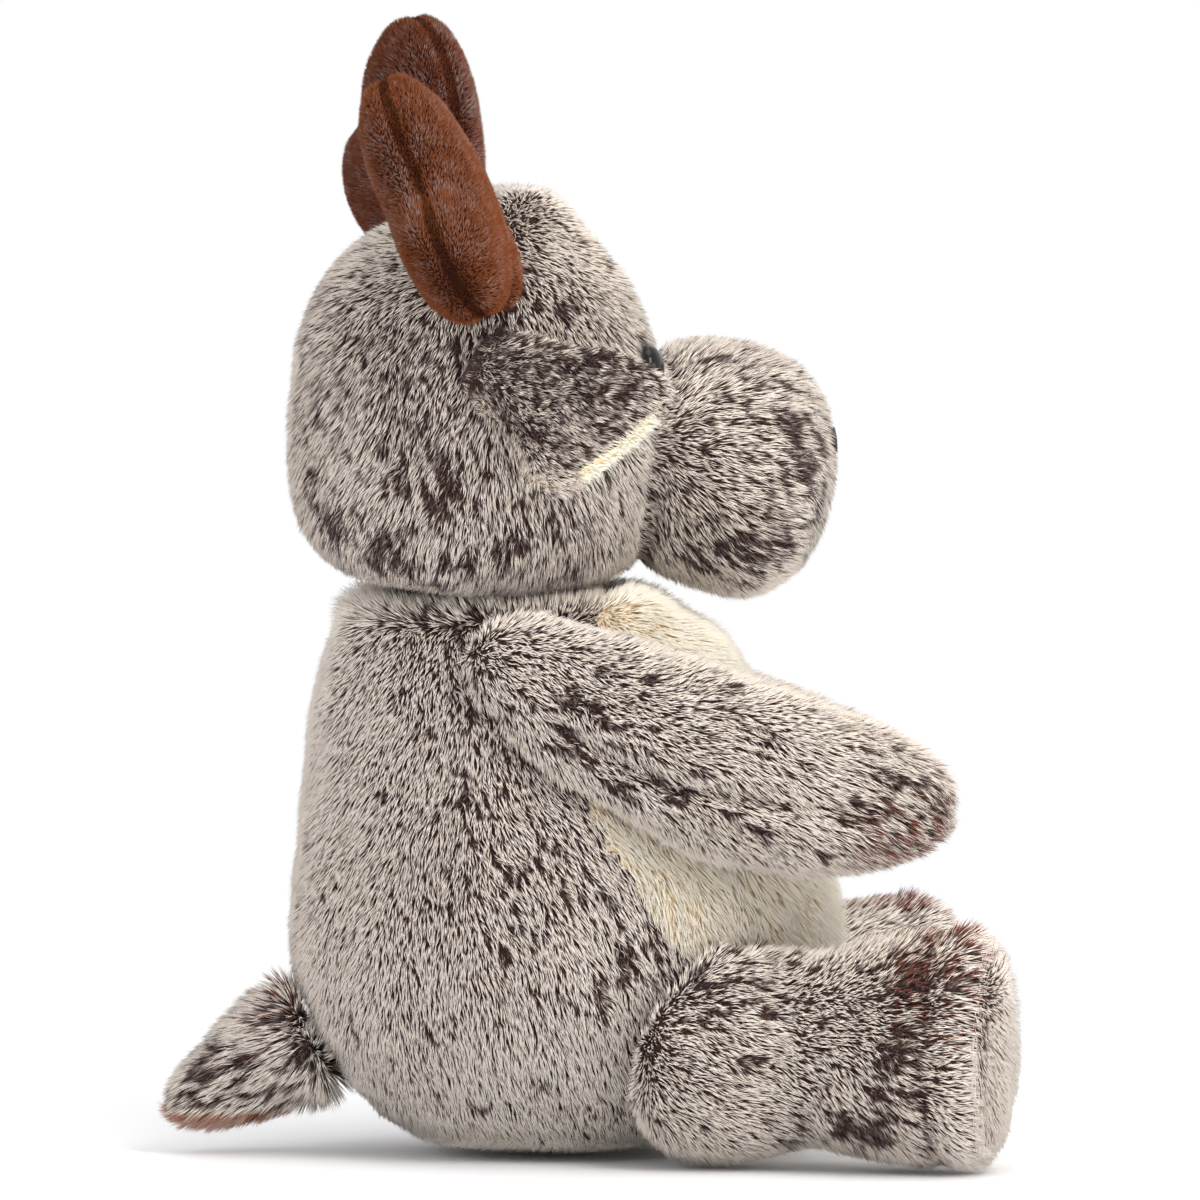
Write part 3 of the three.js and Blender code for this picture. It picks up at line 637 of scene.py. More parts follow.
@dataclass
class Stuffing:
    """How a cloth form is made from its CAD solids: remeshed, drawn in, sewn down and puffed up."""

    voxel: float = 4.5 * MM
    smooth: int = 6
    draw_in: float = -1.4 * MM
    seam_depth: float = 1.6 * MM
    seam_width: float = 5.0 * MM
    swell: float = 1.5 * MM
    pressure: float = 4.0
    lumps: float = 0.9 * MM
    lump_size: float = 17.0 * MM
    fold_depth: float = 2.6 * MM
    flat_until: float = 6.0 * MM
    held_from: float = 0.6
    frames: int = 16

    def form(
        self,
        name: str,
        nodes: Sequence[str],
        panels: Panels | None = None,
        folds: "Sequence[Crease]" = (),
    ) -> bpy.types.Object:
        """Makes the cloth form.

        Args:
            name: The new piece's name.
            nodes: The CAD solids that it fills.
            panels: The panels that are sewn over it.
            folds: Lines where the cloth is drawn in.

        Returns:
            The cloth form.
        """
        obj = joined_copy(name, nodes)
        remesh = obj.modifiers.new("remesh", "REMESH")
        remesh.mode = "VOXEL"
        remesh.voxel_size = self.voxel
        remesh.use_smooth_shade = True
        soften = obj.modifiers.new("soften", "SMOOTH")
        soften.factor = 0.5
        soften.iterations = self.smooth
        apply_modifiers(obj)
        keep_largest(obj)
        put_places(obj, places_of(obj) - normals_of(obj) * self.draw_in)
        if panels and self.seam_depth > 0:
            near_seam = self.seam_share(obj, panels)
            moved = places_of(obj) - normals_of(obj) * (self.seam_depth * near_seam)[:, None]
            put_places(obj, moved)
            if self.swell > 0:
                self.puff(obj, near_seam)
        places = places_of(obj)
        shift = self.lumps * Drift(9, self.lump_size)(places)
        for fold in folds:
            shift -= self.fold_depth * fold.near(places)
        inside = smooth_step(0.0, self.flat_until, places[:, 2])
        put_places(obj, places + normals_of(obj) * (shift * inside)[:, None])
        for polygon in obj.data.polygons:
            polygon.use_smooth = True
        return obj

    def seam_share(self, obj: bpy.types.Object, panels: Panels) -> np.ndarray:
        """How near each vertex is to a seam, from 0 to 1."""
        _, gap = panels.sort(places_of(obj) + normals_of(obj) * 3 * MM)
        return 1 - smooth_step(0.0, self.seam_width, gap)

    def puff(self, obj: bpy.types.Object, near_seam: np.ndarray) -> None:
        """Swells the form with a short cloth simulation, held at its seams.

        Args:
            obj: The cloth form.
            near_seam: How near each vertex is to a seam.
        """
        rest = places_of(obj)
        held = obj.vertex_groups.new(name="seams")
        held.add([int(i) for i in np.flatnonzero(near_seam > self.held_from)], 1.0, "REPLACE")
        cloth = obj.modifiers.new("cloth", "CLOTH")
        settings = cloth.settings
        settings.quality = 4
        settings.mass = 0.2
        settings.use_pressure = True
        settings.uniform_pressure_force = self.pressure
        settings.effector_weights.gravity = 0.0
        settings.vertex_group_mass = held.name
        cloth.point_cache.frame_start = 1
        cloth.point_cache.frame_end = self.frames
        scene = bpy.context.scene
        for step in range(1, self.frames + 1):
            scene.frame_set(step)
        shaped = obj.evaluated_get(bpy.context.evaluated_depsgraph_get())
        moved = places_of(shaped) - rest
        far = np.linalg.norm(moved, axis=1, keepdims=True)
        moved *= np.minimum(1.0, self.swell / np.maximum(far, 1e-9))
        obj.modifiers.clear()
        obj.vertex_groups.clear()
        scene.frame_set(1)
        put_places(obj, rest + moved)


# Pile


@dataclass(frozen=True)
class PileStyle:
    """How a pile grows: its strands, how they lie, how they clump and where they part."""

    length: float = 5.0 * MM
    lift: float = 34.0
    width: float = 0.48 * MM
    density: float = 1.5
    clump: float = 1.3 * MM
    pull: float = 0.35
    wander: float = 20.0
    ruffle: float = 15.0
    pale: float = 0.64
    pale_drift: float = 0.1
    mottle: float = 0.15
    parting: float = 2.2 * MM
    stretch: float = 2.6
    parted: float = 0.075
    parting_dark: float = 0.45
    seam_width: float = 4.0 * MM
    # Painted shade: how much darker the strands are near seams and creases. Below zero it is a painted
    # highlight.
    seam_painted_shade: float = 0.16
    ruff: float = 1.0


@dataclass(frozen=True)
class Growth:
    """How much each cause changes the strands, the same for all piles.

    The spreads, drifts and lifts of turn and lift are in degrees, and root_depth, under_apart and
    fleck_step are in millimetres. The others are shares. The under fields shape the short dark strands
    in the partings.
    """

    turn_spread: float = 8.0
    lift_drift: float = 8.0
    lift_spread: float = 6.0
    pale_drift: float = 0.08
    pale_spread: float = 0.05
    length_drift: float = 0.12
    shortest: float = 0.78
    longest: float = 1.12
    parting_turn: float = 1.9
    parting_short: float = 0.12
    seam_short: float = 0.18
    warm_tall: float = 0.5
    warm_lift: float = 10.0
    ruff_tall: float = 0.5
    ruff_lift: float = 24.0
    # Painted shade: how much darker the taller strands of a ruff are.
    ruff_painted_shade: float = 0.16
    root_depth: float = 0.4
    under_from: float = 0.24
    under_apart: float = 0.35
    under_length: float = 0.62
    under_lean: float = 1.6
    under_palest: float = 0.36
    fleck_step: float = 0.6
    fleck_push: float = 0.22
    whorl_peak: float = 2.1
    whorl_push: float = 0.2
    whorl_dark: float = 0.3


GROWTH = Growth()


@dataclass(frozen=True)
class Whorl:
    """A place where the pile turns away on all sides and its dark roots show."""

    place: tuple[float, float, float]
    size: float
    dark: float = 0.3


@dataclass(frozen=True)
class Picture:
    """The way that the deer is looked at, and the plane across it that marks are measured on."""

    azimuth: float = -4.0
    elevation: float = 2.0
    origin: tuple[float, float, float] = (NECK.x + 33.2 * MM, 0.0, 0.0)

    def axes(self) -> np.ndarray:
        """The directions to the right, up and away from the camera, one row each."""
        a, e = math.radians(self.azimuth), math.radians(self.elevation)
        away = np.array([-math.sin(a) * math.cos(e), math.cos(a) * math.cos(e), -math.sin(e)])
        right = np.array([math.cos(a), math.sin(a), 0.0])
        return np.stack([right, np.cross(right, away), away])

    def flat(self, places: np.ndarray) -> np.ndarray:
        """How far right and up each place is, in millimetres."""
        return (places - np.array(self.origin)) @ self.axes()[:2].T / MM

    def on(
        self, skin: "Skin", right: float, up: float, side: Side = Side.RIGHT
    ) -> tuple[float, float, float] | None:
        """The place on a form that is seen at a spot of the picture.

        Args:
            skin: The form.
            right: How far right the spot is, in millimetres.
            up: How far up it is.
            side: The side that is looked at. The left is seen as in a mirror.

        Returns:
            The place, or None where the form isn't seen.
        """
        across, rise, away = self.axes()
        mirror = np.array([1.0, -side.sign, 1.0])
        start = np.array(self.origin) + (across * right + rise * up) * MM - away
        hit = skin.tree.ray_cast((start * mirror).tolist(), (away * mirror).tolist())
        return tuple(hit[0]) if hit[0] is not None else None


PICTURE = Picture()


@dataclass
class Crease:
    """A line of the picture along which the cloth is drawn in, on the outer side of a form."""

    points: list[tuple[float, float]]
    side: Side = Side.RIGHT
    past: float = 0.0
    width: float = 4.5

    def near(self, places: np.ndarray) -> np.ndarray:
        """How near each place is to the line. A left limb is read as the mirror of a right one.

        Args:
            places: The places.

        Returns:
            A share from 0 to 1 for each place.
        """
        flat = PICTURE.flat(places * np.array([1.0, -self.side.sign, 1.0]))
        best = np.full(len(places), 1e3)
        line = np.array(self.points)
        for start, end in zip(line[:-1], line[1:]):
            run = end - start
            t = np.clip(((flat - start) @ run) / (run @ run), 0, 1)[:, None]
            best = np.minimum(best, np.linalg.norm(flat - start - t * run, axis=1))
        return (1 - smooth_step(0.0, self.width, best)) * (places[:, 1] * self.side.sign > self.past)


@dataclass(frozen=True)
class Cover:
    """One piece of a pile: its name and finish, and the CAD panel that it stands for."""

    name: str
    finish: PileFinish
    slot: str
    node: str
    style: PileStyle | None = None


@dataclass
class Pile:
    """The pile on one cloth form, which is grown as one piece for each panel."""

    skin: Skin
    panels: Panels
    style: PileStyle
    comb: Comb
    seed: int
    reach: float = 2.0 * MM
    neighbours: list[Skin] = field(default_factory=list)
    whorls: list[Whorl] = field(default_factory=list)
    creases: list[Crease] = field(default_factory=list)
    grain: tuple[float, float, float] = (0.3, 0.0, -1.0)
    ruff: Comb | None = None
    bare: list[tuple[tuple[float, float, float], float]] = field(default_factory=list)
    warm: Field | None = None
    # A shift of paleness by place that paints light and shade.
    shade: Field | None = None
    split: Callable[[np.ndarray, np.ndarray], np.ndarray] | None = None
    touching: float = 1.5 * MM
    pressed: float = 0.6
    feel: float = 4.5 * MM

    def grow(self, body: str, covers: Sequence[Cover]) -> None:
        """Grows the strands and dresses them.

        Args:
            body: The CAD body that the pieces ride on.
            covers: The new pieces, one for each panel.
        """
        styles = [cover.style or self.style for cover in covers]
        densest = max(style.density for style in [self.style, *styles])
        roots, normals = self.skin.scatter(densest, self.seed)
        open_air = self.in_open_air(roots, normals)
        roots, normals = roots[open_air], normals[open_air]
        near, gap = self.panels.sort(roots + normals * self.reach)
        if self.split:
            near = self.split(roots, near)
        rng = np.random.default_rng(self.seed + 1)
        made = []
        for number, (cover, style) in enumerate(zip(covers, styles)):
            chosen = (near == number) & (rng.random(len(roots)) < style.density / densest)
            made.append(self.piece(cover.name, style, roots[chosen], normals[chosen], gap[chosen], number))
        for obj, cover in zip(made, covers):
            dress(obj, cover.finish, body, [cover.node])

    def in_open_air(self, roots: np.ndarray, normals: np.ndarray) -> np.ndarray:
        """Which strands aren't pressed between this form and a neighbour, and don't grow on a bare spot."""
        kept = np.ones(len(roots), bool)
        for centre, radius in self.bare:
            kept &= np.linalg.norm(roots - np.array(centre), axis=1) > radius
        for other in self.neighbours:
            for index in np.flatnonzero(kept):
                hit = other.tree.find_nearest(roots[index].tolist(), self.feel)
                if hit[0] is None:
                    continue
                towards = np.array(hit[0]) - roots[index]
                if hit[3] < self.touching or towards @ normals[index] > self.pressed * hit[3]:
                    kept[index] = False
        return kept

    def piece(
        self,
        name: str,
        style: PileStyle,
        roots: np.ndarray,
        normals: np.ndarray,
        gap: np.ndarray,
        number: int,
    ) -> bpy.types.Object:
        """Shapes the strands of one panel.

        Args:
            name: The new piece's name.
            style: How its pile grows.
            roots: Where the strands stand.
            normals: The way the cloth faces there.
            gap: How far the nearest seam is, about.
            number: The panel's number, for its seeds.

        Returns:
            The piece.
        """
        rng = np.random.default_rng(self.seed * 31 + number)
        count = len(roots)
        lay = self.comb(roots, normals)
        lay = unit(lay - normals * (lay * normals).sum(1, keepdims=True))
        across = np.cross(normals, lay)
        turn = style.wander * Drift(self.seed + 11, 26 * MM)(roots)
        turn += style.ruffle * Drift(self.seed + 12, 6 * MM)(roots)
        turn = np.radians(turn + rng.normal(0, GROWTH.turn_spread, count))[:, None]
        lay = lay * np.cos(turn) + across * np.sin(turn)
        pale = style.pale + style.pale_drift * Drift(self.seed + 13, 30 * MM)(roots)
        spread = rng.normal(0, GROWTH.pale_spread, count)
        pale += GROWTH.pale_drift * Drift(self.seed + 14, 5 * MM)(roots) + spread
        lift = style.lift + GROWTH.lift_drift * Drift(self.seed + 15, 9 * MM)(roots)
        lift = np.radians(lift + rng.normal(0, GROWTH.lift_spread, count))
        length = style.length * (1 + GROWTH.length_drift * Drift(self.seed + 16, 14 * MM)(roots))
        length *= rng.uniform(GROWTH.shortest, GROWTH.longest, count)
        shaded = np.zeros(count)
        for push, way, shade in self.parted(roots, normals, lay, style):
            lay = unit(lay + GROWTH.parting_turn * push[:, None] * way)
            pale -= shade
            shaded += shade
            length *= 1 - GROWTH.parting_short * np.clip(shade / 0.4, 0, 1)
        seam = 1 - smooth_step(0.0, style.seam_width, gap)
        for crease in self.creases:
            seam = np.maximum(seam, crease.near(roots))
        # Painted shade: the strands are darker near seams and along creases.
        pale -= style.seam_painted_shade * seam
        length *= 1 - GROWTH.seam_short * seam
        # Painted light and shade by place.
        if self.shade:
            pale += self.shade(roots)
        brown = self.warm(roots) if self.warm else np.zeros(count)
        length *= 1 + GROWTH.warm_tall * brown
        lift += np.radians(GROWTH.warm_lift) * brown
        if self.ruff:
            tall = style.ruff * self.ruff(roots, normals)
            length *= 1 + GROWTH.ruff_tall * tall
            # Painted shade: the taller strands of a ruff are darker.
            pale -= GROWTH.ruff_painted_shade * tall
            lift += np.radians(GROWTH.ruff_lift) * tall
        lay = unit(lay - normals * (lay * normals).sum(1, keepdims=True))
        tips = roots + length[:, None] * (lay * np.cos(lift)[:, None] + normals * np.sin(lift)[:, None])
        tips, clump = self.clumped(roots, tips, style, rng)
        pale += style.mottle * rng.normal(0, 1, clump.max() + 1)[clump]
        pale = np.clip(pale, DARKEST, PALEST)
        pale[rng.random(count) < brown] = WARM_STRAND
        roots = roots - normals * GROWTH.root_depth * MM
        low = np.flatnonzero(shaded > GROWTH.under_from)
        nudge = rng.normal(0, GROWTH.under_apart * MM, (len(low), 3))
        nudge -= normals[low] * (nudge * normals[low]).sum(1, keepdims=True)
        short = roots[low] + nudge
        ends = short + GROWTH.under_length * (tips[low] - roots[low]) + GROWTH.under_lean * nudge[::-1]
        pale = np.concatenate([pale, rng.uniform(DARKEST, GROWTH.under_palest, len(low))])
        roots, normals = np.vstack([roots, short]), np.vstack([normals, normals[low]])
        return strands(name, roots, np.vstack([tips, ends]), normals, style.width, pale)

    def flecks(self, places: np.ndarray, style: PileStyle) -> np.ndarray:
        """A noise drawn out along the grain, whose peaks are the pile's small partings."""
        grain = unit(np.array([self.grain]))[0]
        drawn = places - np.outer(places @ grain, grain) * (1 - 1 / style.stretch)
        fine = Drift(self.seed + 20, style.parting)(drawn)
        fine = fine + 0.55 * Drift(self.seed + 21, style.parting * 0.47)(drawn)
        return fine + 0.45 * Drift(self.seed + 22, 36 * MM)(places)

    def parted(
        self, roots: np.ndarray, normals: np.ndarray, lay: np.ndarray, style: PileStyle
    ) -> list[tuple[np.ndarray, np.ndarray, np.ndarray]]:
        """Where the pile parts: small flecks and placed whorls.

        Args:
            roots: Where the strands stand.
            normals: The way the cloth faces there.
            lay: The way that the strands lie.
            style: How the pile grows.

        Returns:
            For each kind, how strongly it turns the strands, which way, and how much darker they are.
        """
        across = np.cross(normals, lay)
        found = []
        if style.parted > 0:
            peak = self.flecks(roots, style)
            edge = np.quantile(peak, 1 - style.parted)
            for whorl in self.whorls:
                far = np.linalg.norm(roots - np.array(whorl.place), axis=1) / whorl.size
                peak = peak + GROWTH.whorl_peak * whorl.dark * np.exp(-0.5 * (far / 0.8) ** 2)
            step = GROWTH.fleck_step * MM
            sideways = self.flecks(roots + across * step, style) - self.flecks(roots - across * step, style)
            onward = self.flecks(roots + lay * step, style) - self.flecks(roots - lay * step, style)
            away = unit(-sideways[:, None] * across - 0.6 * onward[:, None] * lay + 1e-9)
            push = GROWTH.fleck_push * smooth_step(edge - 0.4, edge + 0.1, peak)
            found.append((push, away, style.parting_dark * smooth_step(edge - 0.08, edge + 0.3, peak)))
        uneven = 0.35 * Drift(self.seed + 17, 4 * MM)(roots) + 0.3 * Drift(self.seed + 18, 9 * MM)(roots)
        for whorl in self.whorls:
            off = roots - np.array(whorl.place)
            near = 1 - smooth_step(0.1, 0.8, np.linalg.norm(off, axis=1) / whorl.size + uneven)
            away = unit(off - normals * (off * normals).sum(1, keepdims=True) + 1e-9)
            found.append((GROWTH.whorl_push * near, away, GROWTH.whorl_dark * whorl.dark * near))
        return found

    def clumped(
        self, roots: np.ndarray, tips: np.ndarray, style: PileStyle, rng: np.random.Generator
    ) -> tuple[np.ndarray, np.ndarray]:
        """Draws the tips of neighbouring strands together.

        Args:
            roots: Where the strands stand.
            tips: Where they end.
            style: How the pile grows.
            rng: The source of the clumps' middles.

        Returns:
            The moved tips, and the number of each strand's clump.
        """
        middles = max(1, int(len(roots) / (style.density * (style.clump / MM) ** 2)))
        chosen = rng.choice(len(roots), middles, replace=False)
        tree = KDTree(middles)
        for number, index in enumerate(chosen):
            tree.insert(roots[index], number)
        tree.balance()
        clump = np.array([tree.find(place)[1] for place in roots.tolist()])
        held = np.maximum(np.bincount(clump, minlength=middles), 1)
        mean = np.stack([np.bincount(clump, tips[:, i], middles) / held for i in range(3)], 1)
        pull = (style.pull * rng.uniform(0.4, 1.2, middles))[clump][:, None]
        return tips + pull * (mean[clump] - tips), clump


def strands(
    name: str,
    roots: np.ndarray,
    tips: np.ndarray,
    normals: np.ndarray,
    width: float,
    pale: np.ndarray,
) -> bpy.types.Object:
    """A mesh of closed three-sided strands, with the map that their colour is read from.

    Args:
        name: The new piece's name.
        roots: Where the strands stand.
        tips: Where they end.
        normals: The way the cloth faces at each root.
        width: How wide a strand is at its root.
        pale: How pale each strand is.

    Returns:
        The piece.
    """
    tips[:, 2] = np.maximum(tips[:, 2], FLOOR)
    roots[:, 2] = np.maximum(roots[:, 2], FLOOR + width)
    along = unit(tips - roots)
    first = unit(np.cross(along, normals))
    second = np.cross(along, first)
    count = len(roots)
    places = np.empty((count, 4, 3))
    for corner in range(3):
        turn = math.pi / 2 + corner * 2 * math.pi / 3
        out = first * math.cos(turn) + second * math.sin(turn)
        places[:, corner] = roots + width / math.sqrt(3) * out
    places[:, 3] = tips
    corners = np.array([0, 1, 3, 1, 2, 3, 2, 0, 3, 0, 2, 1])
    index = (np.arange(count)[:, None] * 4 + corners).ravel().astype(np.int32)
    mesh = bpy.data.meshes.new(name)
    mesh.vertices.add(count * 4)
    mesh.vertices.foreach_set("co", places.astype(np.float32).ravel())
    mesh.loops.add(count * 12)
    mesh.loops.foreach_set("vertex_index", index)
    mesh.polygons.add(count * 4)
    mesh.polygons.foreach_set("loop_start", np.arange(0, count * 12, 3, dtype=np.int32))
    mesh.polygons.foreach_set("use_smooth", np.ones(count * 4, bool))
    mesh.update(calc_edges=True)
    half, foot, top, sole = 0.012, 0.02, 0.98, 0.035
    side = [(-half, foot), (half, foot), (0.0, top)]
    base = [(-half, foot), (half, foot), (0.0, sole)]
    shape = np.array(side * 3 + base)
    spots = np.empty((count, 12, 2))
    spots[:, :, 0] = pale[:, None] + shape[None, :, 0]
    spots[:, :, 1] = shape[None, :, 1]
    layer = mesh.uv_layers.new(name=PILE_MAP)
    layer.data.foreach_set("uv", spots.astype(np.float32).ravel())
    return new_object(name, mesh)


def dress(
    obj: bpy.types.Object,
    finish: Finish,
    body: str,
    nodes: Sequence[str] = (),
) -> None:
    """Gives a piece its finish, its body and the CAD nodes that it stands for.

    Args:
        obj: The piece.
        finish: Its finish.
        body: The CAD body that it rides on.
        nodes: The CAD nodes that it replaces.
    """
    obj.data.materials.clear()
    obj.data.materials.append(finish.material())
    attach(obj, body)
    if nodes:
        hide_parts(*nodes)
    log.info("%s rides on %s with %d faces", obj.name, body, len(obj.data.polygons))


def patch(obj: bpy.types.Object, finish: ClothFinish, panels: Panels, number: int) -> None:
    """Gives the cloth under one panel another finish.

    Args:
        obj: The cloth form.
        finish: The other finish.
        panels: The panels over the form.
        number: The panel that lies over the other finish.
    """
    count = len(obj.data.polygons)
    centres, ways = np.empty(count * 3, np.float32), np.empty(count * 3, np.float32)
    obj.data.polygons.foreach_get("center", centres)
    obj.data.polygons.foreach_get("normal", ways)
    near, _ = panels.sort((centres + 3 * MM * ways).reshape(-1, 3).astype(float))
    obj.data.materials.append(finish.material())
    obj.data.polygons.foreach_set("material_index", (near == number).astype(np.int32))
    obj.data.update()


# The deer's parts


@dataclass
class Mark:
    """A parted spot of the pile, where the picture shows it."""

    right: float
    up: float
    size: float
    dark: float = 0.28


def whorls_on(skin: Skin, marks: Sequence[Mark], *sides: Side) -> list[Whorl]:
    """Sets marks of the picture on a form.

    Args:
        skin: The form.
        marks: The marks, as the picture shows them on the deer's right.
        sides: The sides that get them. The left is the mirror of the right.

    Returns:
        The whorls that lie on the form.
    """
    found = [(PICTURE.on(skin, mark.right, mark.up, side), mark) for side in sides for mark in marks]
    return [Whorl(place, mark.size * MM, mark.dark) for place, mark in found if place]


def warm_share(marks: Sequence[Mark], side: Side, past: float) -> Field:
    """The share of warm brown strands round marks of the picture, on the outer side of a limb.

    Args:
        marks: Where the brown patches are.
        side: The limb's side.
        past: How far from the middle plane the outer side begins.

    Returns:
        The share for places.
    """

    def share(places: np.ndarray) -> np.ndarray:
        flat = PICTURE.flat(places * np.array([1.0, -side.sign, 1.0]))
        found = np.zeros(len(places))
        for mark in marks:
            far = np.linalg.norm(flat - np.array([mark.right, mark.up]), axis=1) / mark.size
            found = np.maximum(found, mark.dark * np.exp(-0.5 * far ** 2))
        streaks = smooth_step(-0.6, 0.3, Drift(77, 4 * MM)(places))
        return found * streaks * (places[:, 1] * side.sign > past)

    return share


def lay_along(direction: Sequence[float], fall: float = 0.0) -> Comb:
    """A comb that lays the pile one way.

    Args:
        direction: The way that the strands point.
        fall: How much they hang as well.

    Returns:
        The comb.
    """
    way = np.array(direction) + np.array([0.0, 0.0, -fall])
    return lambda places, normals: np.broadcast_to(way, places.shape).copy()


@dataclass
class HeadFrame:
    """Where the head's own upright axes stand: it turns a little aside and leans to the deer's right."""

    pivot: Vector = field(default_factory=lambda: NECK.copy())
    aside: float = 7.0
    lean: float = 8.0

    def turn(self) -> np.ndarray:
        """The head's axes in the deer's, one column each."""
        spin = Matrix.Rotation(math.radians(self.aside), 3, "Z")
        return np.array(spin @ Matrix.Rotation(math.radians(self.lean), 3, "X"))

    def inside(self, places: np.ndarray) -> np.ndarray:
        """Places as they are in the head's own axes, from its pivot."""
        return (places - np.array(self.pivot)) @ self.turn()

    def way(self, direction: Sequence[float]) -> np.ndarray:
        """A direction of the head's own axes in the deer's."""
        return self.turn() @ np.array(direction)

    def on_right(self, places: np.ndarray, side: Side) -> np.ndarray:
        """Places of a side of the head, mirrored in its own middle plane to the deer's right."""
        own = self.inside(places) * np.array([1.0, -side.sign, 1.0])
        return np.array(self.pivot) + own @ self.turn().T


HEAD_FRAME = HeadFrame()


@dataclass
class Part:
    """A sewn part of the deer: a cloth form over its stuffing, and the pile that grows on it."""

    skin: Skin = field(init=False)
    panels: Panels = field(init=False)

    def build(self) -> Skin:
        """Makes the part's cloth form.

        Returns:
            The form's skin, for its neighbours.
        """
        raise NotImplementedError

    def grow(self, neighbours: list[Skin]) -> None:
        """Grows the part's pile.

        Args:
            neighbours: The forms that press on this one.
        """
        raise NotImplementedError

    def sew(
        self,
        form: bpy.types.Object,
        body: str,
        nodes: Sequence[str],
        fill: float,
        backing: ClothFinish = BACKING,
        slot: str = "stuffing",
    ) -> Skin:
        """Dresses the cloth form and keeps its skin.

        Args:
            form: The cloth form.
            body: The CAD body that it rides on.
            nodes: The CAD nodes that it replaces.
            fill: How full it is. Not used.
            backing: Its finish.
            slot: The record's material slot. Not used.

        Returns:
            The form's skin.
        """
        dress(form, backing, body, nodes)
        self.skin = Skin(form)
        return self.skin


@dataclass
class SidePart(Part):
    """A part that the deer has on each side, with the side's name at the end of its nodes."""

    side: Side

    @property
    def name(self) -> str:
        """The side's name."""
        return self.side.value

    def seed(self, right: int) -> int:
        """The seed of the pile, from that of the right side's."""
        return right + 7 * (self.side is Side.LEFT)


@dataclass
class Torso(Part):
    """The body: two back panels, the cream belly and the seat, sewn over the stuffing."""

    # The back's pile is paler than the head's: painted fill light. Its seams get a little painted shade.
    style: PileStyle = PileStyle(density=1.42, seam_painted_shade=0.05, pale=0.74, parted=0.06, mottle=0.13)
    belly_style: PileStyle = PileStyle(
        length=8.0 * MM, lift=36.0, width=0.55 * MM, density=1.28, clump=2.0 * MM, pull=0.4,
        wander=34.0, ruffle=26.0, parted=0.0, pale=0.78, seam_painted_shade=0.05, mottle=0.05, ruff=0.0,
    )
    seat_style: PileStyle = PileStyle(density=1.3, lift=26.0, seam_painted_shade=0.0, pale=0.72, mottle=0.13)
    skirt_level: float = 6.0 * MM
    neck_radius: float = 30.0 * MM
    middle: float = NECK.x + 24.0 * MM
    fall: tuple[float, float, float] = (0.34, 0.0, -1.0)
    shoulder: tuple[float, float] = (130.0 * MM, 150.0 * MM)
    marks: list[Mark] = field(default_factory=lambda: [
        Mark(-74, 171, 4.6), Mark(-59, 162, 4.9), Mark(-48, 166, 4.6), Mark(-42, 159, 4.3, 0.34),
        Mark(-70, 153, 3.7), Mark(-79, 135, 3.7), Mark(-80, 122, 3.0), Mark(-57, 144, 3.0),
        Mark(-45, 123, 3.0), Mark(-37, 111, 3.0), Mark(-29, 107, 4.6, 0.36), Mark(-41, 92, 3.0),
        Mark(-56, 96, 3.7), Mark(-15, 96, 5.2, 0.38), Mark(-16, 106, 3.7, 0.32), Mark(-33, 87, 3.7),
        Mark(-45, 79, 3.7), Mark(-3, 85, 4.0), Mark(-64, 111, 3.0), Mark(-88, 78, 5.5, 0.36),
        Mark(-86, 101, 3.7, 0.32), Mark(-82, 50, 4.3), Mark(3, 50, 7.6), Mark(-9, 50, 6.1),
        Mark(16, 41, 6.7), Mark(9, 64, 4.6), Mark(28, 64, 4.9, 0.34), Mark(-15, 23, 6.1, 0.32),
        Mark(-33, 18, 4.6), Mark(-48, 23, 4.6), Mark(-63, 26, 4.6), Mark(3, 20, 6.1, 0.32),
        Mark(-74, 32, 3.7), Mark(-57, 63, 3.0), Mark(-51, 44, 3.7), Mark(-70, 72, 3.7), Mark(-27, 66, 3.7),
        Mark(-39, 50, 3.7),
    ])

    def comb(self, places: np.ndarray, normals: np.ndarray) -> np.ndarray:
        """The pile runs down and a little forward, and outwards under the seat."""
        down = np.array(self.fall)
        out = (places - np.array([self.middle, 0.0, 0.0])) * np.array([1.0, 1.0, 0.0])
        under = smooth_step(0.85, 0.98, -normals[:, 2])[:, None]
        lay = down * (1 - under) + unit(out) * under
        rim = self.ruff(places, normals)[:, None]
        return lay * (1 - rim) + unit(out) * rim

    def skirt(self, places: np.ndarray, near: np.ndarray) -> np.ndarray:
        """The back's pile hangs over the seat's seam."""
        hung = (near == 3) & (places[:, 2] > self.skirt_level)
        return np.where(hung, (places[:, 1] > 0).astype(int), near)

    def ruff(self, places: np.ndarray, normals: np.ndarray) -> np.ndarray:
        """The share by which the pile stands taller and darker as painted shade, on the shoulders under the
        head.
        """
        return smooth_step(0.35, 0.8, normals[:, 2]) * smooth_step(*self.shoulder, places[:, 2])

    def build(self) -> Skin:
        """Makes the cloth form over the stuffing and the bag of pellets."""
        self.panels = Panels(["torso_back_right", "torso_back_left", "belly_panel", "seat_panel"])
        solids = ["torso_stuffing", "pellet_bag"]
        form = Stuffing(seam_depth=0.6 * MM).form("torso_cloth", solids, self.panels)
        skin = self.sew(form, "torso", ["torso_stuffing"], 0.8)
        patch(form, CREAM_BACKING, self.panels, 2)
        return skin

    def grow(self, neighbours: list[Skin]) -> None:
        """Grows the pile of the four panels."""
        pivot = HEAD_FRAME.pivot
        hollow = [((pivot.x, pivot.y, height * MM), self.neck_radius) for height in (158, 166, 176)]
        pile = Pile(
            self.skin, self.panels, self.style, self.comb, 101, neighbours=neighbours, bare=hollow,
            whorls=whorls_on(self.skin, self.marks, *Side), ruff=self.ruff, split=self.skirt,
        )
        pile.grow("torso", [
            Cover("torso_pile_right", FROSTED, "plush", "torso_back_right"),
            Cover("torso_pile_left", FROSTED, "plush", "torso_back_left"),
            Cover("belly_pile", CREAM, "cream", "belly_panel", self.belly_style),
            Cover("seat_pile", FROSTED, "plush", "seat_panel", self.seat_style),
        ])


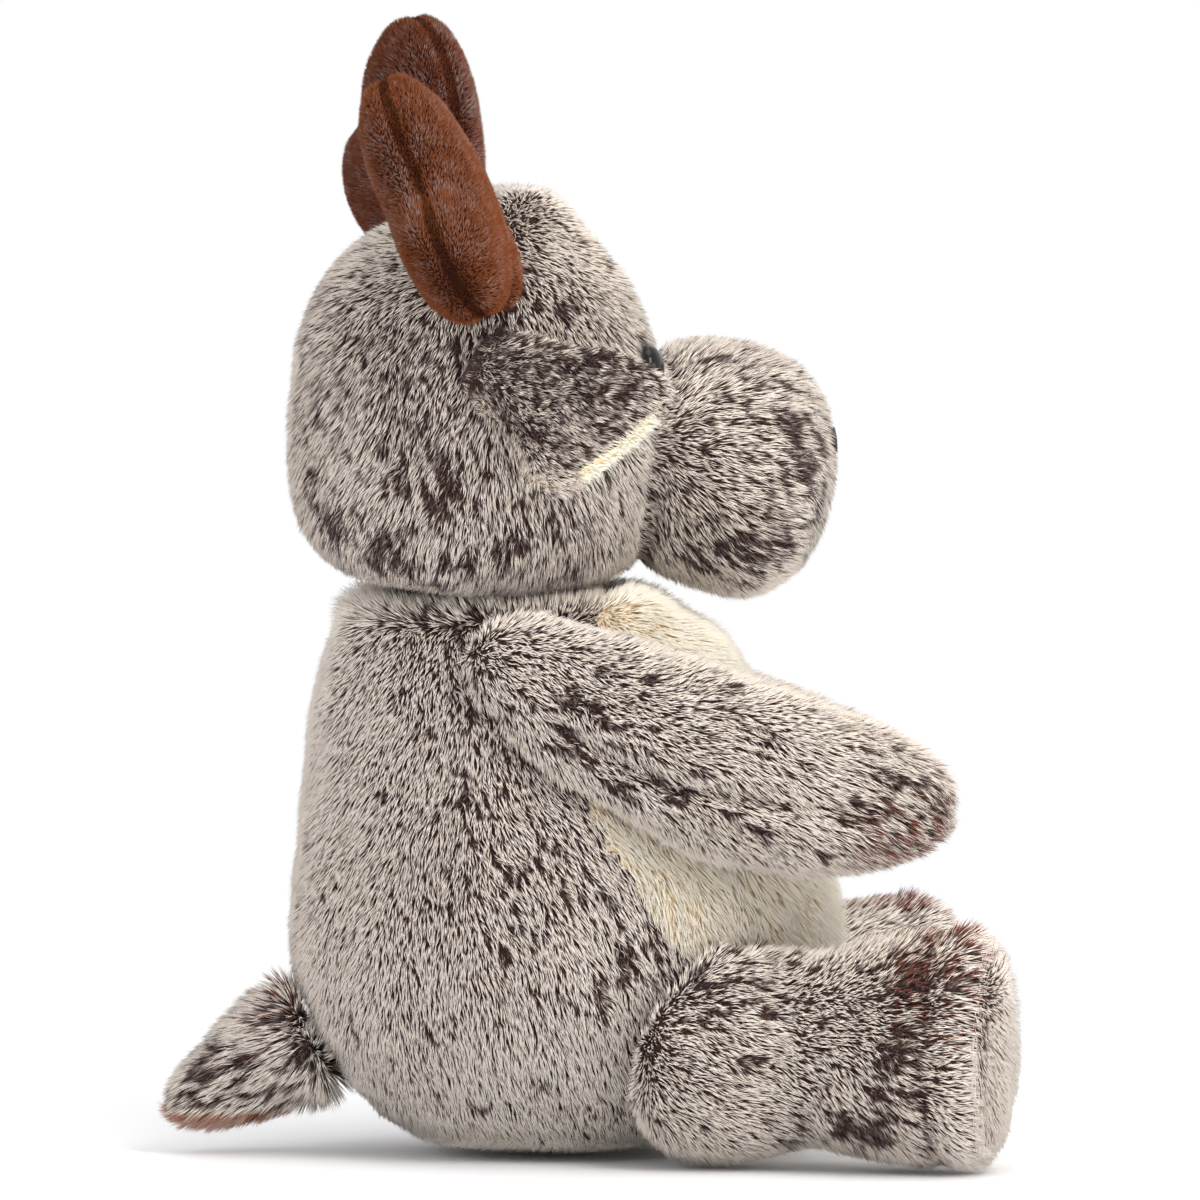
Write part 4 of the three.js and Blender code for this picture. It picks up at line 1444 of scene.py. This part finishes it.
@dataclass
class Head(Part):
    """The ball head and the muzzle."""

    style: PileStyle = PileStyle(density=1.45, wander=30.0)
    muzzle_style: PileStyle = PileStyle(density=1.45, wander=24.0, pale=0.55)
    hollow: float = 29.5 * MM
    crown: tuple[float, float, float] = (8.0 * MM, 0.0, 128.0 * MM)
    bare: float = 5.4 * MM
    brow: tuple[float, float] = (9.0 * MM, 14.0 * MM)
    snout: tuple[float, float] = (36.0 * MM, 44.0 * MM)
    ball_front: float = 40.0 * MM
    # Where the ball gets painted shade low down and behind, and painted light at its top.
    painted_shade_below: tuple[float, float] = (15.0 * MM, 60.0 * MM)
    painted_shade_behind: tuple[float, float] = (-40.0 * MM, 30.0 * MM)
    painted_light_above: tuple[float, float] = (80.0 * MM, 110.0 * MM)
    marks: list[Mark] = field(default_factory=lambda: [
        Mark(-42, 211, 9.1, 0.44), Mark(-57, 212, 6.1, 0.36), Mark(-53, 224, 4.6),
        Mark(-60, 189, 8.5, 0.44), Mark(-36, 184, 7.3, 0.34), Mark(-21, 190, 7.3, 0.32),
        Mark(-45, 197, 6.1, 0.34), Mark(-79, 199, 6.1, 0.32), Mark(-84, 209, 4.6),
        Mark(-76, 189, 6.1, 0.34), Mark(-74, 254, 5.5), Mark(-61, 254, 4.3), Mark(-82, 233, 4.3),
        Mark(-72, 218, 4.3), Mark(-9, 264, 6.7, 0.42), Mark(3, 279, 5.5), Mark(16, 254, 4.9),
        Mark(-1, 286, 4.3), Mark(-6, 197, 5.2), Mark(9, 190, 4.6), Mark(17, 209, 3.7),
        Mark(-7, 181, 4.9, 0.34), Mark(-48, 178, 4.3, 0.34),
    ])
    muzzle_marks: list[Mark] = field(default_factory=lambda: [
        Mark(64, 223, 7.3, 0.42), Mark(61, 211, 6.1, 0.32), Mark(47, 243, 6.1, 0.32), Mark(34, 227, 5.8),
        Mark(40, 190, 6.7, 0.32), Mark(55, 187, 5.5, 0.32), Mark(31, 184, 5.5, 0.32), Mark(46, 178, 4.6),
        Mark(34, 245, 5.2), Mark(70, 203, 4.3), Mark(52, 203, 4.3),
    ])

    def comb(self, places: np.ndarray, normals: np.ndarray) -> np.ndarray:
        """The pile runs down from the crown all round the ball, and along the muzzle to its front."""
        own = HEAD_FRAME.inside(places)
        ball = unit(own - np.array(self.crown))
        muzzle = np.array([1.0, 0.0, -0.35])
        front = np.array([0.0, 0.0, -1.0])
        facing = smooth_step(0.55, 0.9, normals @ HEAD_FRAME.way((1, 0, 0)))[:, None]
        snout = smooth_step(*self.snout, own[:, 0])[:, None]
        lay = ball * (1 - snout) + (muzzle * (1 - facing) + front * facing) * snout
        return lay @ HEAD_FRAME.turn().T

    def shade(self, places: np.ndarray) -> np.ndarray:
        """Painted light on the ball: a little darker low down and behind as painted shade, and paler at its
        top as painted light.
        """
        own = HEAD_FRAME.inside(places)
        low = 1 - smooth_step(*self.painted_shade_below, own[:, 2])
        behind = 1 - smooth_step(*self.painted_shade_behind, own[:, 0])
        high = smooth_step(*self.painted_light_above, own[:, 2])
        return (0.08 * high - 0.1 * np.maximum(low, behind)) * (own[:, 0] < self.ball_front)

    def build(self) -> Skin:
        """Makes the cloth form of head and muzzle."""
        self.panels = Panels(["head_skin", "muzzle_skin"])
        form = Stuffing().form("head_cloth", ["head_stuffing"], self.panels)
        return self.sew(form, "head", ["head_stuffing"], 0.85)

    def grow(self, neighbours: list[Skin]) -> None:
        """Grows the pile in three pieces, with bare spots at the neck, the eyes and the nostrils."""
        bare = [(tuple(HEAD_FRAME.pivot), self.hollow)]
        eyes = [middle_of(f"eye_{side.value}") for side in Side]
        for side, eye in zip(Side, eyes):
            bare.append((tuple(eye), self.bare))
            bare.append((tuple(middle_of(f"nostril_{side.value}")), self.bare))

        def brows(places: np.ndarray, normals: np.ndarray) -> np.ndarray:
            """The pile stands taller round the eyes, and darker there as painted shade."""
            far = np.minimum(*(np.linalg.norm(places - eye, axis=1) for eye in eyes))
            return 1 - smooth_step(*self.brow, far)

        def halves(roots: np.ndarray, near: np.ndarray) -> np.ndarray:
            """The ball's right half, its left half and the muzzle."""
            left = HEAD_FRAME.inside(roots)[:, 1] > 0
            return np.where(near == 1, 2, left.astype(int))

        pile = Pile(
            self.skin, self.panels, self.style, self.comb, 202, neighbours=neighbours, bare=bare,
            whorls=whorls_on(self.skin, [*self.marks, *self.muzzle_marks], *Side), split=halves,
            shade=self.shade, ruff=brows,
        )
        pile.grow("head", [
            Cover("head_pile_right", FROSTED, "plush", "head_skin"),
            Cover("head_pile_left", FROSTED, "plush", "head_skin"),
            Cover("muzzle_pile", FROSTED, "plush", "muzzle_skin", self.muzzle_style),
        ])


@dataclass
class Arm(SidePart):
    """An arm that reaches forward, with a sewn line along its outer side."""

    style: PileStyle = PileStyle(density=1.6, pale=0.66)
    line: list[tuple[float, float]] = field(default_factory=lambda: [
        (-10.0, 134.0), (3.0, 127.0), (13.7, 121.2), (22.9, 115.6), (45.2, 112.8), (60.1, 110.0),
        (75.0, 108.2), (89.9, 108.2), (106.6, 110.0),
    ])
    past: float = 62.0 * MM
    marks: list[Mark] = field(default_factory=lambda: [
        Mark(-21, 145, 3.7, 0.26), Mark(-26, 136, 3.7, 0.26), Mark(-12, 130, 4.3, 0.34),
        Mark(0, 123, 4.3, 0.32), Mark(3, 136, 3.0, 0.24), Mark(-9, 142, 3.0, 0.24), Mark(16, 117, 6.1, 0.38),
        Mark(8, 114, 4.6, 0.34), Mark(28, 114, 5.2, 0.32), Mark(0, 145, 4.3), Mark(16, 148, 3.7),
        Mark(34, 153, 5.5, 0.34), Mark(43, 145, 4.6), Mark(52, 130, 4.3), Mark(64, 120, 4.3),
        Mark(89, 120, 7.3, 0.44), Mark(80, 111, 4.6, 0.34), Mark(104, 114, 4.3, 0.34), Mark(52, 102, 4.3),
        Mark(70, 96, 4.3), Mark(-36, 156, 4.3, 0.34), Mark(-33, 147, 3.7),
    ])
    warm: list[Mark] = field(default_factory=lambda: [
        Mark(99, 102, 8.5, 0.9), Mark(85, 99, 6.1, 0.7), Mark(104, 112, 4.9, 0.5), Mark(104, 97, 4.9, 0.7),
    ])

    def shade(self, places: np.ndarray) -> np.ndarray:
        """Painted light and shade: the arm is paler at its root and darker towards its tip."""
        return 0.1 - 0.16 * smooth_step(0.0, 75 * MM, places[:, 0])

    def build(self) -> Skin:
        """Makes the arm's cloth form, drawn in along the sewn line."""
        self.panels = Panels([f"arm_skin_{self.name}"])
        solids = [f"arm_stuffing_{self.name}"]
        fold = Crease(self.line, self.side, self.past, width=5.0)
        form = Stuffing(voxel=4.0 * MM).form(f"arm_cloth_{self.name}", solids, folds=[fold])
        return self.sew(form, f"arm_{self.name}", solids, 0.75)

    def grow(self, neighbours: list[Skin]) -> None:
        """Grows the arm's pile."""
        # The sewn line's crease darkens the pile along it: painted shade.
        pile = Pile(
            self.skin, self.panels, self.style, lay_along((0.93, 0.19 * self.side.sign, -0.3), 0.12),
            self.seed(300), neighbours=neighbours, whorls=whorls_on(self.skin, self.marks, self.side),
            creases=[Crease(self.line, self.side, self.past)], shade=self.shade,
            warm=warm_share(self.warm, self.side, self.past), grain=(0.95, 0.0, -0.3),
        )
        cover = Cover(f"arm_pile_{self.name}", FROSTED, "plush", f"arm_skin_{self.name}")
        pile.grow(f"arm_{self.name}", [cover])


@dataclass
class Leg(SidePart):
    """A leg with a large round foot, whose sole is sewn in behind a ring seam."""

    # The leg's pile is darker near its seams: painted shade.
    style: PileStyle = PileStyle(density=1.5, seam_painted_shade=0.22, seam_width=5.0 * MM, parted=0.095)
    # The sole's pile is paler than the leg's: painted light.
    sole_style: PileStyle = PileStyle(density=1.5, seam_painted_shade=0.1, parted=0.03, pale=0.8)
    run: float = 97.0
    splay: float = 30.0
    spread: float = 26.0 * MM
    line: list[tuple[float, float]] = field(default_factory=lambda: [
        (50.0, 72.0), (52.7, 67.3), (58.2, 54.3), (60.1, 37.6), (52.7, 24.6),
    ])
    past: float = 66.0 * MM
    marks: list[Mark] = field(default_factory=lambda: [
        Mark(40, 53, 4.3, 0.34), Mark(34, 44, 4.3), Mark(52, 47, 4.3, 0.36), Mark(46, 32, 5.5, 0.34),
        Mark(67, 59, 4.0, 0.42), Mark(95, 57, 6.1, 0.4), Mark(92, 35, 7.6, 0.46), Mark(86, 23, 6.1, 0.4),
        Mark(96, 22, 4.9, 0.36), Mark(77, 14, 5.5, 0.38), Mark(87, 10, 5.5, 0.34), Mark(53, 16, 4.6),
        Mark(41, 16, 4.6, 0.32), Mark(34, 10, 4.0), Mark(61, 8, 4.3, 0.34), Mark(70, 44, 3.0),
        Mark(107, 55, 5.5, 0.4), Mark(110, 69, 4.9, 0.36), Mark(114, 11, 3.0, 0.2),
    ])
    warm: list[Mark] = field(default_factory=lambda: [
        Mark(105, 53, 9.8, 0.85), Mark(95, 58, 7.9, 0.75), Mark(109, 69, 7.9, 0.8), Mark(98, 45, 5.5, 0.6),
    ])

    def along(self) -> np.ndarray:
        """The way that the leg points."""
        return unit(np.array([[self.run, self.splay * self.side.sign, 0.0]]))[0]

    def comb(self, places: np.ndarray, normals: np.ndarray) -> np.ndarray:
        """The pile runs along the leg, down its sides and out over the sole."""
        along = self.along()
        sole = smooth_step(0.5, 0.9, normals @ along)[:, None]
        centre = (self.foot[0] + self.foot[1]) / 2
        out = places - np.array(centre)
        out -= np.outer(out @ along, along)
        spread = out / self.spread + np.array([0.0, 0.0, -0.7])
        return (along + np.array([0.0, 0.0, -0.22])) * (1 - sole) + spread * sole

    def build(self) -> Skin:
        """Makes the leg's cloth form, drawn in at the ankle's fold."""
        self.panels = Panels([f"leg_skin_{self.name}", f"foot_sole_{self.name}"])
        self.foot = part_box(f"foot_sole_{self.name}")
        solids = [f"leg_stuffing_{self.name}"]
        fold = Crease(self.line, self.side, self.past, width=5.0)
        form = Stuffing().form(f"leg_cloth_{self.name}", solids, self.panels, [fold])
        return self.sew(form, f"leg_{self.name}", solids, 0.8)

    def grow(self, neighbours: list[Skin]) -> None:
        """Grows the pile of the leg and of its sole."""
        pile = Pile(
            self.skin, self.panels, self.style, self.comb, self.seed(400), neighbours=neighbours,
            whorls=whorls_on(self.skin, self.marks, self.side),
            warm=warm_share(self.warm, self.side, self.past), grain=(0.95, 0.0, -0.2),
        )
        pile.grow(f"leg_{self.name}", [
            Cover(f"leg_pile_{self.name}", FROSTED, "plush", f"leg_skin_{self.name}"),
            Cover(f"sole_pile_{self.name}", FROSTED, "plush", f"foot_sole_{self.name}", self.sole_style),
        ])


@dataclass
class Tail(Part):
    """The short tail, frosted above and brown below."""

    style: PileStyle = PileStyle(
        density=1.7, lift=30.0, length=7.0 * MM, clump=2.0 * MM, pull=0.5, pale=0.7, parted=0.12, mottle=0.2
    )
    marks: list[Mark] = field(default_factory=lambda: [
        Mark(-96, 47, 6.1, 0.4), Mark(-112, 35, 5.5, 0.4), Mark(-118, 26, 5.5, 0.4),
        Mark(-103, 29, 4.6, 0.34), Mark(-88, 32, 4.3, 0.34), Mark(-84, 44, 5.2, 0.4),
    ])
    warm: list[Mark] = field(default_factory=lambda: [Mark(-93, 49, 7.0, 0.6), Mark(-110, 31, 5.0, 0.3)])
    roll: float = 3.5 * MM
    root: tuple[float, float] = (9.0 * MM, 3.0 * MM)

    def build(self) -> Skin:
        """Makes the tail's cloth form."""
        self.panels = Panels(["tail_skin", "tail_underside"])
        stuffing = Stuffing(voxel=3.0 * MM, seam_depth=0.8 * MM, swell=0.8 * MM)
        form = stuffing.form("tail_cloth", ["tail_stuffing"], self.panels)
        return self.sew(form, "tail", ["tail_stuffing"], 0.7)

    def grow(self, neighbours: list[Skin]) -> None:
        """Grows the pile of the tail's two panels."""
        foot = self.skin.places[:, 0].max()
        start, end = foot - self.root[0], foot - self.root[1]

        def at_root(places: np.ndarray, normals: np.ndarray) -> np.ndarray:
            """The share by which the pile stands taller and darker as painted shade, at the tail's root."""
            return smooth_step(start, end, places[:, 0])

        def comb(places: np.ndarray, normals: np.ndarray) -> np.ndarray:
            """The pile runs to the tail's tip, and at its root out over the seam."""
            root = at_root(places, normals)[:, None]
            out = normals * np.array([0.0, 1.0, 1.0]) + np.array([0.6, 0.0, 0.0])
            return np.array([-0.95, 0.0, -0.42]) * (1 - root) + out * root

        def rolled(roots: np.ndarray, near: np.ndarray) -> np.ndarray:
            """The frosted pile rolls round the rim of the brown underside."""
            return np.where(self.panels.sort(roots)[1] < self.roll, 0, near)

        pile = Pile(
            self.skin, self.panels, self.style, comb, 500, neighbours=neighbours, grain=(-0.95, 0.0, -0.3),
            whorls=whorls_on(self.skin, self.marks, *Side), split=rolled, touching=0.3 * MM, pressed=0.93,
            ruff=at_root, warm=warm_share(self.warm, Side.RIGHT, -1.0),
        )
        pile.grow("tail", [
            Cover("tail_pile", FROSTED, "plush", "tail_skin"),
            Cover("tail_pile_under", TAIL_BROWN, "tail_brown", "tail_underside"),
        ])


@dataclass
class Ear(SidePart):
    """An ear of two leaves, frosted behind and cream inside."""

    # The ear's back is darker than the head's pile of the same finish: painted shade. Its pile is paler near
    # the rim: a painted highlight.
    style: PileStyle = PileStyle(
        density=3.2, length=4.6 * MM, lift=32.0, width=0.4 * MM, pale=0.36, parted=0.1, seam_painted_shade=-0.2,
        seam_width=3.5 * MM,
    )
    lining_style: PileStyle = PileStyle(
        density=2.2, parted=0.0, length=4.5 * MM, lift=34.0, pale=0.7, seam_painted_shade=0.0, mottle=0.05
    )
    out_turn: float = 32.0
    shown_from: tuple[float, float] = (-3.0, 212.5)
    shown_to: tuple[float, float] = (16.5, 228.5)
    roll: float = 6.0 * MM

    def build(self) -> Skin:
        """Makes the ear's cloth form."""
        nodes = [f"ear_back_{self.name}", f"ear_lining_{self.name}"]
        self.panels = Panels(nodes)
        stuffing = Stuffing(voxel=2.0 * MM, smooth=4, draw_in=2.0 * MM, seam_depth=0.0, lumps=0.5 * MM)
        form = stuffing.form(f"ear_cloth_{self.name}", nodes)
        skin = self.sew(form, f"ear_{self.name}", [], 0.2, slot="plush")
        patch(form, CREAM_BACKING, self.panels, 1)
        return skin

    def grow(self, neighbours: list[Skin]) -> None:
        """Grows the pile of the ear's two leaves, all over them, as the ear hangs free."""
        turn = math.radians(self.out_turn)
        way = HEAD_FRAME.way((math.cos(turn), self.side.sign * math.sin(turn), 0.05))
        start, run = np.array(self.shown_from), np.array(self.shown_to) - np.array(self.shown_from)

        def rolled(roots: np.ndarray, near: np.ndarray) -> np.ndarray:
            """The frosted leaf rolls round the rim, but at its low front end the cream one rolls outwards."""
            gap = self.panels.sort(roots)[1]
            off = PICTURE.flat(HEAD_FRAME.on_right(roots, self.side)) - start
            along = off @ run / (run @ run)
            below = (off[:, 0] * run[1] - off[:, 1] * run[0] > 0) & (along > -0.1) & (along < 1.05)
            near = np.where((near == 1) & (gap < self.roll) & ~below, 0, near)
            return np.where(below & (gap < 2 * self.roll), 1, near)

        pile = Pile(
            self.skin, self.panels, self.style, lay_along(way, 0.35), self.seed(600), reach=2.5 * MM,
            split=rolled,
        )
        lining = f"ear_lining_{self.name}"
        pile.grow(f"ear_{self.name}", [
            Cover(f"ear_pile_{self.name}", FROSTED, "plush", f"ear_back_{self.name}"),
            Cover(f"ear_lining_pile_{self.name}", EAR_CREAM, "cream", lining, self.lining_style),
        ])


@dataclass
class Antler(SidePart):
    """A padded antler of short velvet, its two panels sewn together round the rim."""

    # The velvet is darker along the seam's groove: painted shade.
    style: PileStyle = PileStyle(
        length=2.2 * MM, lift=56.0, width=0.42 * MM, density=4.2, clump=1.4 * MM, pull=0.2, wander=20.0,
        ruffle=14.0, parted=0.0, pale=0.62, pale_drift=0.05, mottle=0.03, seam_width=2.0 * MM, seam_painted_shade=0.3,
    )

    def build(self) -> Skin:
        """Makes the antler's cloth form, drawn in along its seam."""
        nodes = [f"antler_front_{self.name}", f"antler_back_{self.name}"]
        filling = f"antler_stuffing_{self.name}"
        self.panels = Panels(nodes)
        stuffing = Stuffing(
            voxel=2.2 * MM, smooth=3, draw_in=0.8 * MM, seam_depth=1.5 * MM, seam_width=3.2 * MM,
            swell=0.8 * MM, lumps=0.4 * MM, lump_size=12.0 * MM,
        )
        form = stuffing.form(f"antler_cloth_{self.name}", [*nodes, filling], self.panels)
        # The left antler's darker backing is painted shade.
        backing = ANTLER_BACKING if self.side is Side.RIGHT else ANTLER_PAINTED_SHADE_BACKING
        return self.sew(form, f"antler_{self.name}", [filling], 0.85, backing)

    def grow(self, neighbours: list[Skin]) -> None:
        """Grows the velvet of the antler's two panels."""
        comb = lay_along(HEAD_FRAME.way((0.1, 0.3 * self.side.sign, 1.0)))
        pile = Pile(
            self.skin, self.panels, self.style, comb, self.seed(700), reach=1.3 * MM,
            neighbours=neighbours,
        )
        # The left antler's darker velvet is painted shade.
        finish = ANTLER if self.side is Side.RIGHT else ANTLER_PAINTED_SHADE
        front, back = f"antler_front_{self.name}", f"antler_back_{self.name}"
        pile.grow(f"antler_{self.name}", [
            Cover(f"antler_pile_front_{self.name}", finish, "antler_brown", front),
            Cover(f"antler_pile_back_{self.name}", finish, "antler_brown_dark", back),
        ])


@dataclass
class Inside:
    """What the panels hide: the neck's cushion, the bag of pellets and the eyes' washers."""

    def build(self) -> None:
        """Makes the hidden cushions and finishes the washers."""
        plain = Stuffing(voxel=3.0 * MM, smooth=2, draw_in=0.3 * MM, seam_depth=0.0)
        neck = plain.form("neck_cushion", ["neck_stuffing"])
        dress(neck, BACKING, "neck", ["neck_stuffing"])
        low = Stuffing(voxel=3.0 * MM, smooth=4, draw_in=4.0 * MM, seam_depth=0.0, lumps=0.0)
        bag = low.form("pellet_bag_cloth", ["pellet_bag"])
        dress(bag, BAG_CLOTH, "torso", ["pellet_bag"])
        for side in Side:
            washer = frame["nodes"][f"eye_washer_{side.value}"]
            washer.data.materials.clear()
            washer.data.materials.append(WASHER_WHITE.material())


@dataclass
class Eye:
    """A glossy safety eye: a domed button on its shank."""

    side: Side
    radius: float = 6.5 * MM
    height: float = 4.5 * MM
    sunk: float = 2.4 * MM
    shank: float = 2.0 * MM
    shank_length: float = 11.0 * MM
    dome: float = 0.82
    rim: float = 0.18

    @staticmethod
    def push(mesh: bmesh.types.BMesh, faces: list[bmesh.types.BMFace], depth: float) -> None:
        """Draws faces downwards out of a mesh.

        Args:
            mesh: The mesh.
            faces: The faces.
            depth: How far they go.
        """
        drawn = bmesh.ops.extrude_face_region(mesh, geom=faces)
        low = [v for v in drawn["geom"] if isinstance(v, bmesh.types.BMVert)]
        bmesh.ops.delete(mesh, geom=faces, context="FACES_ONLY")
        bmesh.ops.translate(mesh, verts=low, vec=(0, 0, -depth))

    def build(self) -> None:
        """Models the button and sets it where its CAD node is."""
        name = f"eye_{self.side.value}"
        washer = middle_of(f"eye_washer_{self.side.value}")
        spots = places_of(frame["nodes"][name])
        axis = unit((spots.mean(0) - washer)[None])[0]
        apex = (spots @ axis).max()
        foot = washer + axis * (apex - washer @ axis - self.height - self.sunk)
        eye = new_ball(40, 20, self.radius)
        eye.name = f"eye_button_{self.side.value}"
        bpy.ops.object.mode_set(mode="EDIT")
        bpy.ops.mesh.select_all(action="SELECT")
        bpy.ops.mesh.bisect(
            plane_co=(0, 0, 0), plane_no=(0, 0, 1), use_fill=True, clear_inner=True, clear_outer=False
        )
        bpy.ops.mesh.select_all(action="SELECT")
        bpy.ops.transform.resize(value=(1, 1, self.height * self.dome / self.radius))
        bpy.ops.object.mode_set(mode="OBJECT")
        base = bmesh.new()
        base.from_mesh(eye.data)
        self.push(base, [f for f in base.faces if f.normal.z < -0.9], self.height * self.rim)
        floor = [f for f in base.faces if f.normal.z < -0.9]
        bmesh.ops.inset_region(base, faces=floor, thickness=self.radius - self.shank)
        self.push(base, floor, self.shank_length)
        bmesh.ops.recalc_face_normals(base, faces=base.faces)
        base.to_mesh(eye.data)
        base.free()
        stand(eye, axis, foot + axis * self.height * self.rim)
        bpy.ops.object.shade_smooth_by_angle(angle=math.radians(40))
        dress(eye, EYE_BLACK, "head", [name])


@dataclass
class Nostril:
    """An embroidered nostril: satin stitches side by side on a low pad."""

    side: Side
    length: float = 12.0 * MM
    height: float = 8.0 * MM
    stitches: int = 13
    depth: float = 6.5 * MM
    thickness: float = 0.9 * MM
    tightness: float = 0.62
    pad_share: float = 0.46
    sunk: float = 2.4 * MM

    def stitch(self, number: int) -> bpy.types.Object:
        """Makes one stitch, long in the middle of the row and short at its ends."""
        place = (number + 0.5) / self.stitches * 2 - 1
        long = self.length * math.sqrt(max(1 - place * place, 0.05)) / 2
        wide = self.height / self.stitches * self.tightness
        thread = new_ball(10, 10, 1.0)
        thread.data.transform(Matrix.Diagonal((wide, long, self.thickness, 1)))
        thread.data.transform(Matrix.Translation((place * self.height / 2, 0, -0.2 * MM * abs(place))))
        return thread

    def build(self, head: Skin) -> None:
        """Sews the stitches where the CAD node is.

        Args:
            head: The head's form, that the pad stands on.
        """
        name = f"nostril_{self.side.value}"
        spots = places_of(frame["nodes"][name])
        centre = spots.mean(0)
        hit = head.tree.find_nearest(centre.tolist(), 0.03)
        out = unit((centre - np.array(hit[0]))[None])[0]
        top = (spots @ out).max() - centre @ out
        threads = [self.stitch(number) for number in range(self.stitches)]
        pad = new_ball(24, 12, 1.0)
        size = (self.height * self.pad_share, self.length * self.pad_share, self.depth / 2, 1)
        pad.data.transform(Matrix.Diagonal(size))
        pad.data.transform(Matrix.Translation((0, 0, -self.depth / 2)))
        pick(pad, *threads)
        bpy.ops.object.join()
        pad.name = f"nostril_stitches_{self.side.value}"
        stand(pad, out, centre + out * (top - self.sunk))
        bpy.ops.object.shade_smooth()
        dress(pad, THREAD, "head", [name])


@dataclass(frozen=True)
class Lamp:
    """A square soft lamp that faces the deer."""

    name: str
    place: tuple[float, float, float]
    size: float
    power: float
    colour: tuple[float, float, float]
    aim: tuple[float, float, float] = (0.0, 0.0, 0.17)

    def build(self) -> None:
        """Hangs the lamp."""
        data = bpy.data.lights.new(self.name, "AREA")
        data.size = self.size
        data.energy = self.power
        data.color = self.colour
        lamp = new_object(self.name, data)
        lamp.location = self.place
        lamp.rotation_euler = (Vector(self.aim) - Vector(self.place)).to_track_quat("-Z", "Y").to_euler()


@dataclass
class Stage:
    """The pale floor, the soft lights and the camera."""

    distance: float = 3.0
    picture_width: float = 374.4 * MM
    target: tuple[float, float] = (3.4, 172.2)
    sensor: float = 36.0
    lamps: tuple[Lamp, ...] = (
        Lamp("key", (0.9, -1.6, 1.5), 1.1, 27.0, (1.0, 0.98, 0.95)),
        Lamp("fill", (-1.5, -1.3, 0.9), 1.4, 9.0, (0.97, 0.98, 1.0)),
        Lamp("front", (1.8, -0.9, 0.3), 1.2, 11.0, (1.0, 0.98, 0.95)),
        Lamp("top", (0.2, -0.2, 1.9), 1.2, 8.0, (1.0, 1.0, 1.0)),
    )

    def build(self) -> None:
        """Sets the stage."""
        self.floor()
        self.lights()
        self.camera()
        bpy.context.scene.view_settings.view_transform = "Standard"

    def floor(self) -> None:
        """A pale floor that fades into the white behind it."""
        deselect_all()
        bpy.ops.mesh.primitive_plane_add(size=12.0)
        floor = bpy.context.object
        floor.name = "floor"
        material, graph, shader = new_material("floor_white")
        graph.feed(shader, {"Base Color": (0.93, 0.93, 0.93, 1), "Roughness": 0.8})
        where = graph.node("TexCoord")
        far = graph.node("VectorMath", {0: where.outputs["Object"]}, operation="LENGTH").outputs["Value"]
        rays = graph.node("LightPath")
        seen = graph.math("MULTIPLY", graph.ramp(far, 0.16, 0.5), rays.outputs["Is Camera Ray"])
        glow = graph.node("Emission", {"Color": WHITE, "Strength": 1.0})
        mix = graph.node("MixShader", {0: seen, 1: shader.outputs[0], 2: glow.outputs[0]})
        out = next(n for n in material.node_tree.nodes if n.type == "OUTPUT_MATERIAL")
        graph.feed(out, {"Surface": mix.outputs[0]})
        floor.data.materials.append(material)

    def lights(self) -> None:
        """A white world that lights softly, and the lamps."""
        world = bpy.data.worlds.new("studio")
        bpy.context.scene.world = world
        world.use_nodes = True
        graph = Graph(world.node_tree)
        world.node_tree.nodes.clear()
        rays = graph.node("LightPath")
        white = graph.node("Background", {"Color": WHITE, "Strength": 1.0})
        light = graph.node("Background", {"Color": (0.98, 0.98, 1, 1), "Strength": 0.9})
        first = graph.math("MAXIMUM", rays.outputs["Is Camera Ray"], rays.outputs["Is Glossy Ray"])
        either = graph.math("MAXIMUM", first, rays.outputs["Is Transmission Ray"])
        mix = graph.node("MixShader", {0: either, 1: light.outputs[0], 2: white.outputs[0]})
        graph.node("OutputWorld", {"Surface": mix.outputs[0]})
        for lamp in self.lamps:
            lamp.build()

    def camera(self) -> None:
        """A long lens at the picture's angle."""
        data = bpy.data.cameras.new("camera")
        data.sensor_width = self.sensor
        data.lens = self.sensor * self.distance / self.picture_width
        camera = new_object("camera", data)
        across, rise, away = PICTURE.axes()
        target = (across * self.target[0] + rise * self.target[1]) * MM
        camera.location = Vector(np.array(PICTURE.origin) + target - away * self.distance)
        camera.rotation_euler = Vector(away).to_track_quat("-Z", "Y").to_euler()
        data.clip_end = 30.0
        bpy.context.scene.camera = camera


def main() -> None:
    """Builds the deer part by part."""
    logging.basicConfig(level=logging.INFO, format="%(message)s")
    Stage().build()
    torso, head, tail = Torso(), Head(), Tail()
    arms = [Arm(side) for side in Side]
    legs = [Leg(side) for side in Side]
    ears = [Ear(side) for side in Side]
    antlers = [Antler(side) for side in Side]
    torso_skin, head_skin, tail_skin = torso.build(), head.build(), tail.build()
    limb_skins = [limb.build() for limb in [*arms, *legs]]
    antler_skins = [antler.build() for antler in antlers]
    for ear in ears:
        ear.build()
    torso.grow([head_skin, tail_skin, *limb_skins])
    head.grow([torso_skin, *antler_skins])
    tail.grow([torso_skin])
    for limb in [*arms, *legs]:
        limb.grow([torso_skin])
    for part in [*ears, *antlers]:
        part.grow([head_skin])
    Inside().build()
    for side in Side:
        Eye(side).build()
        Nostril(side).build(head_skin)


if __name__ == "__main__":
    main()
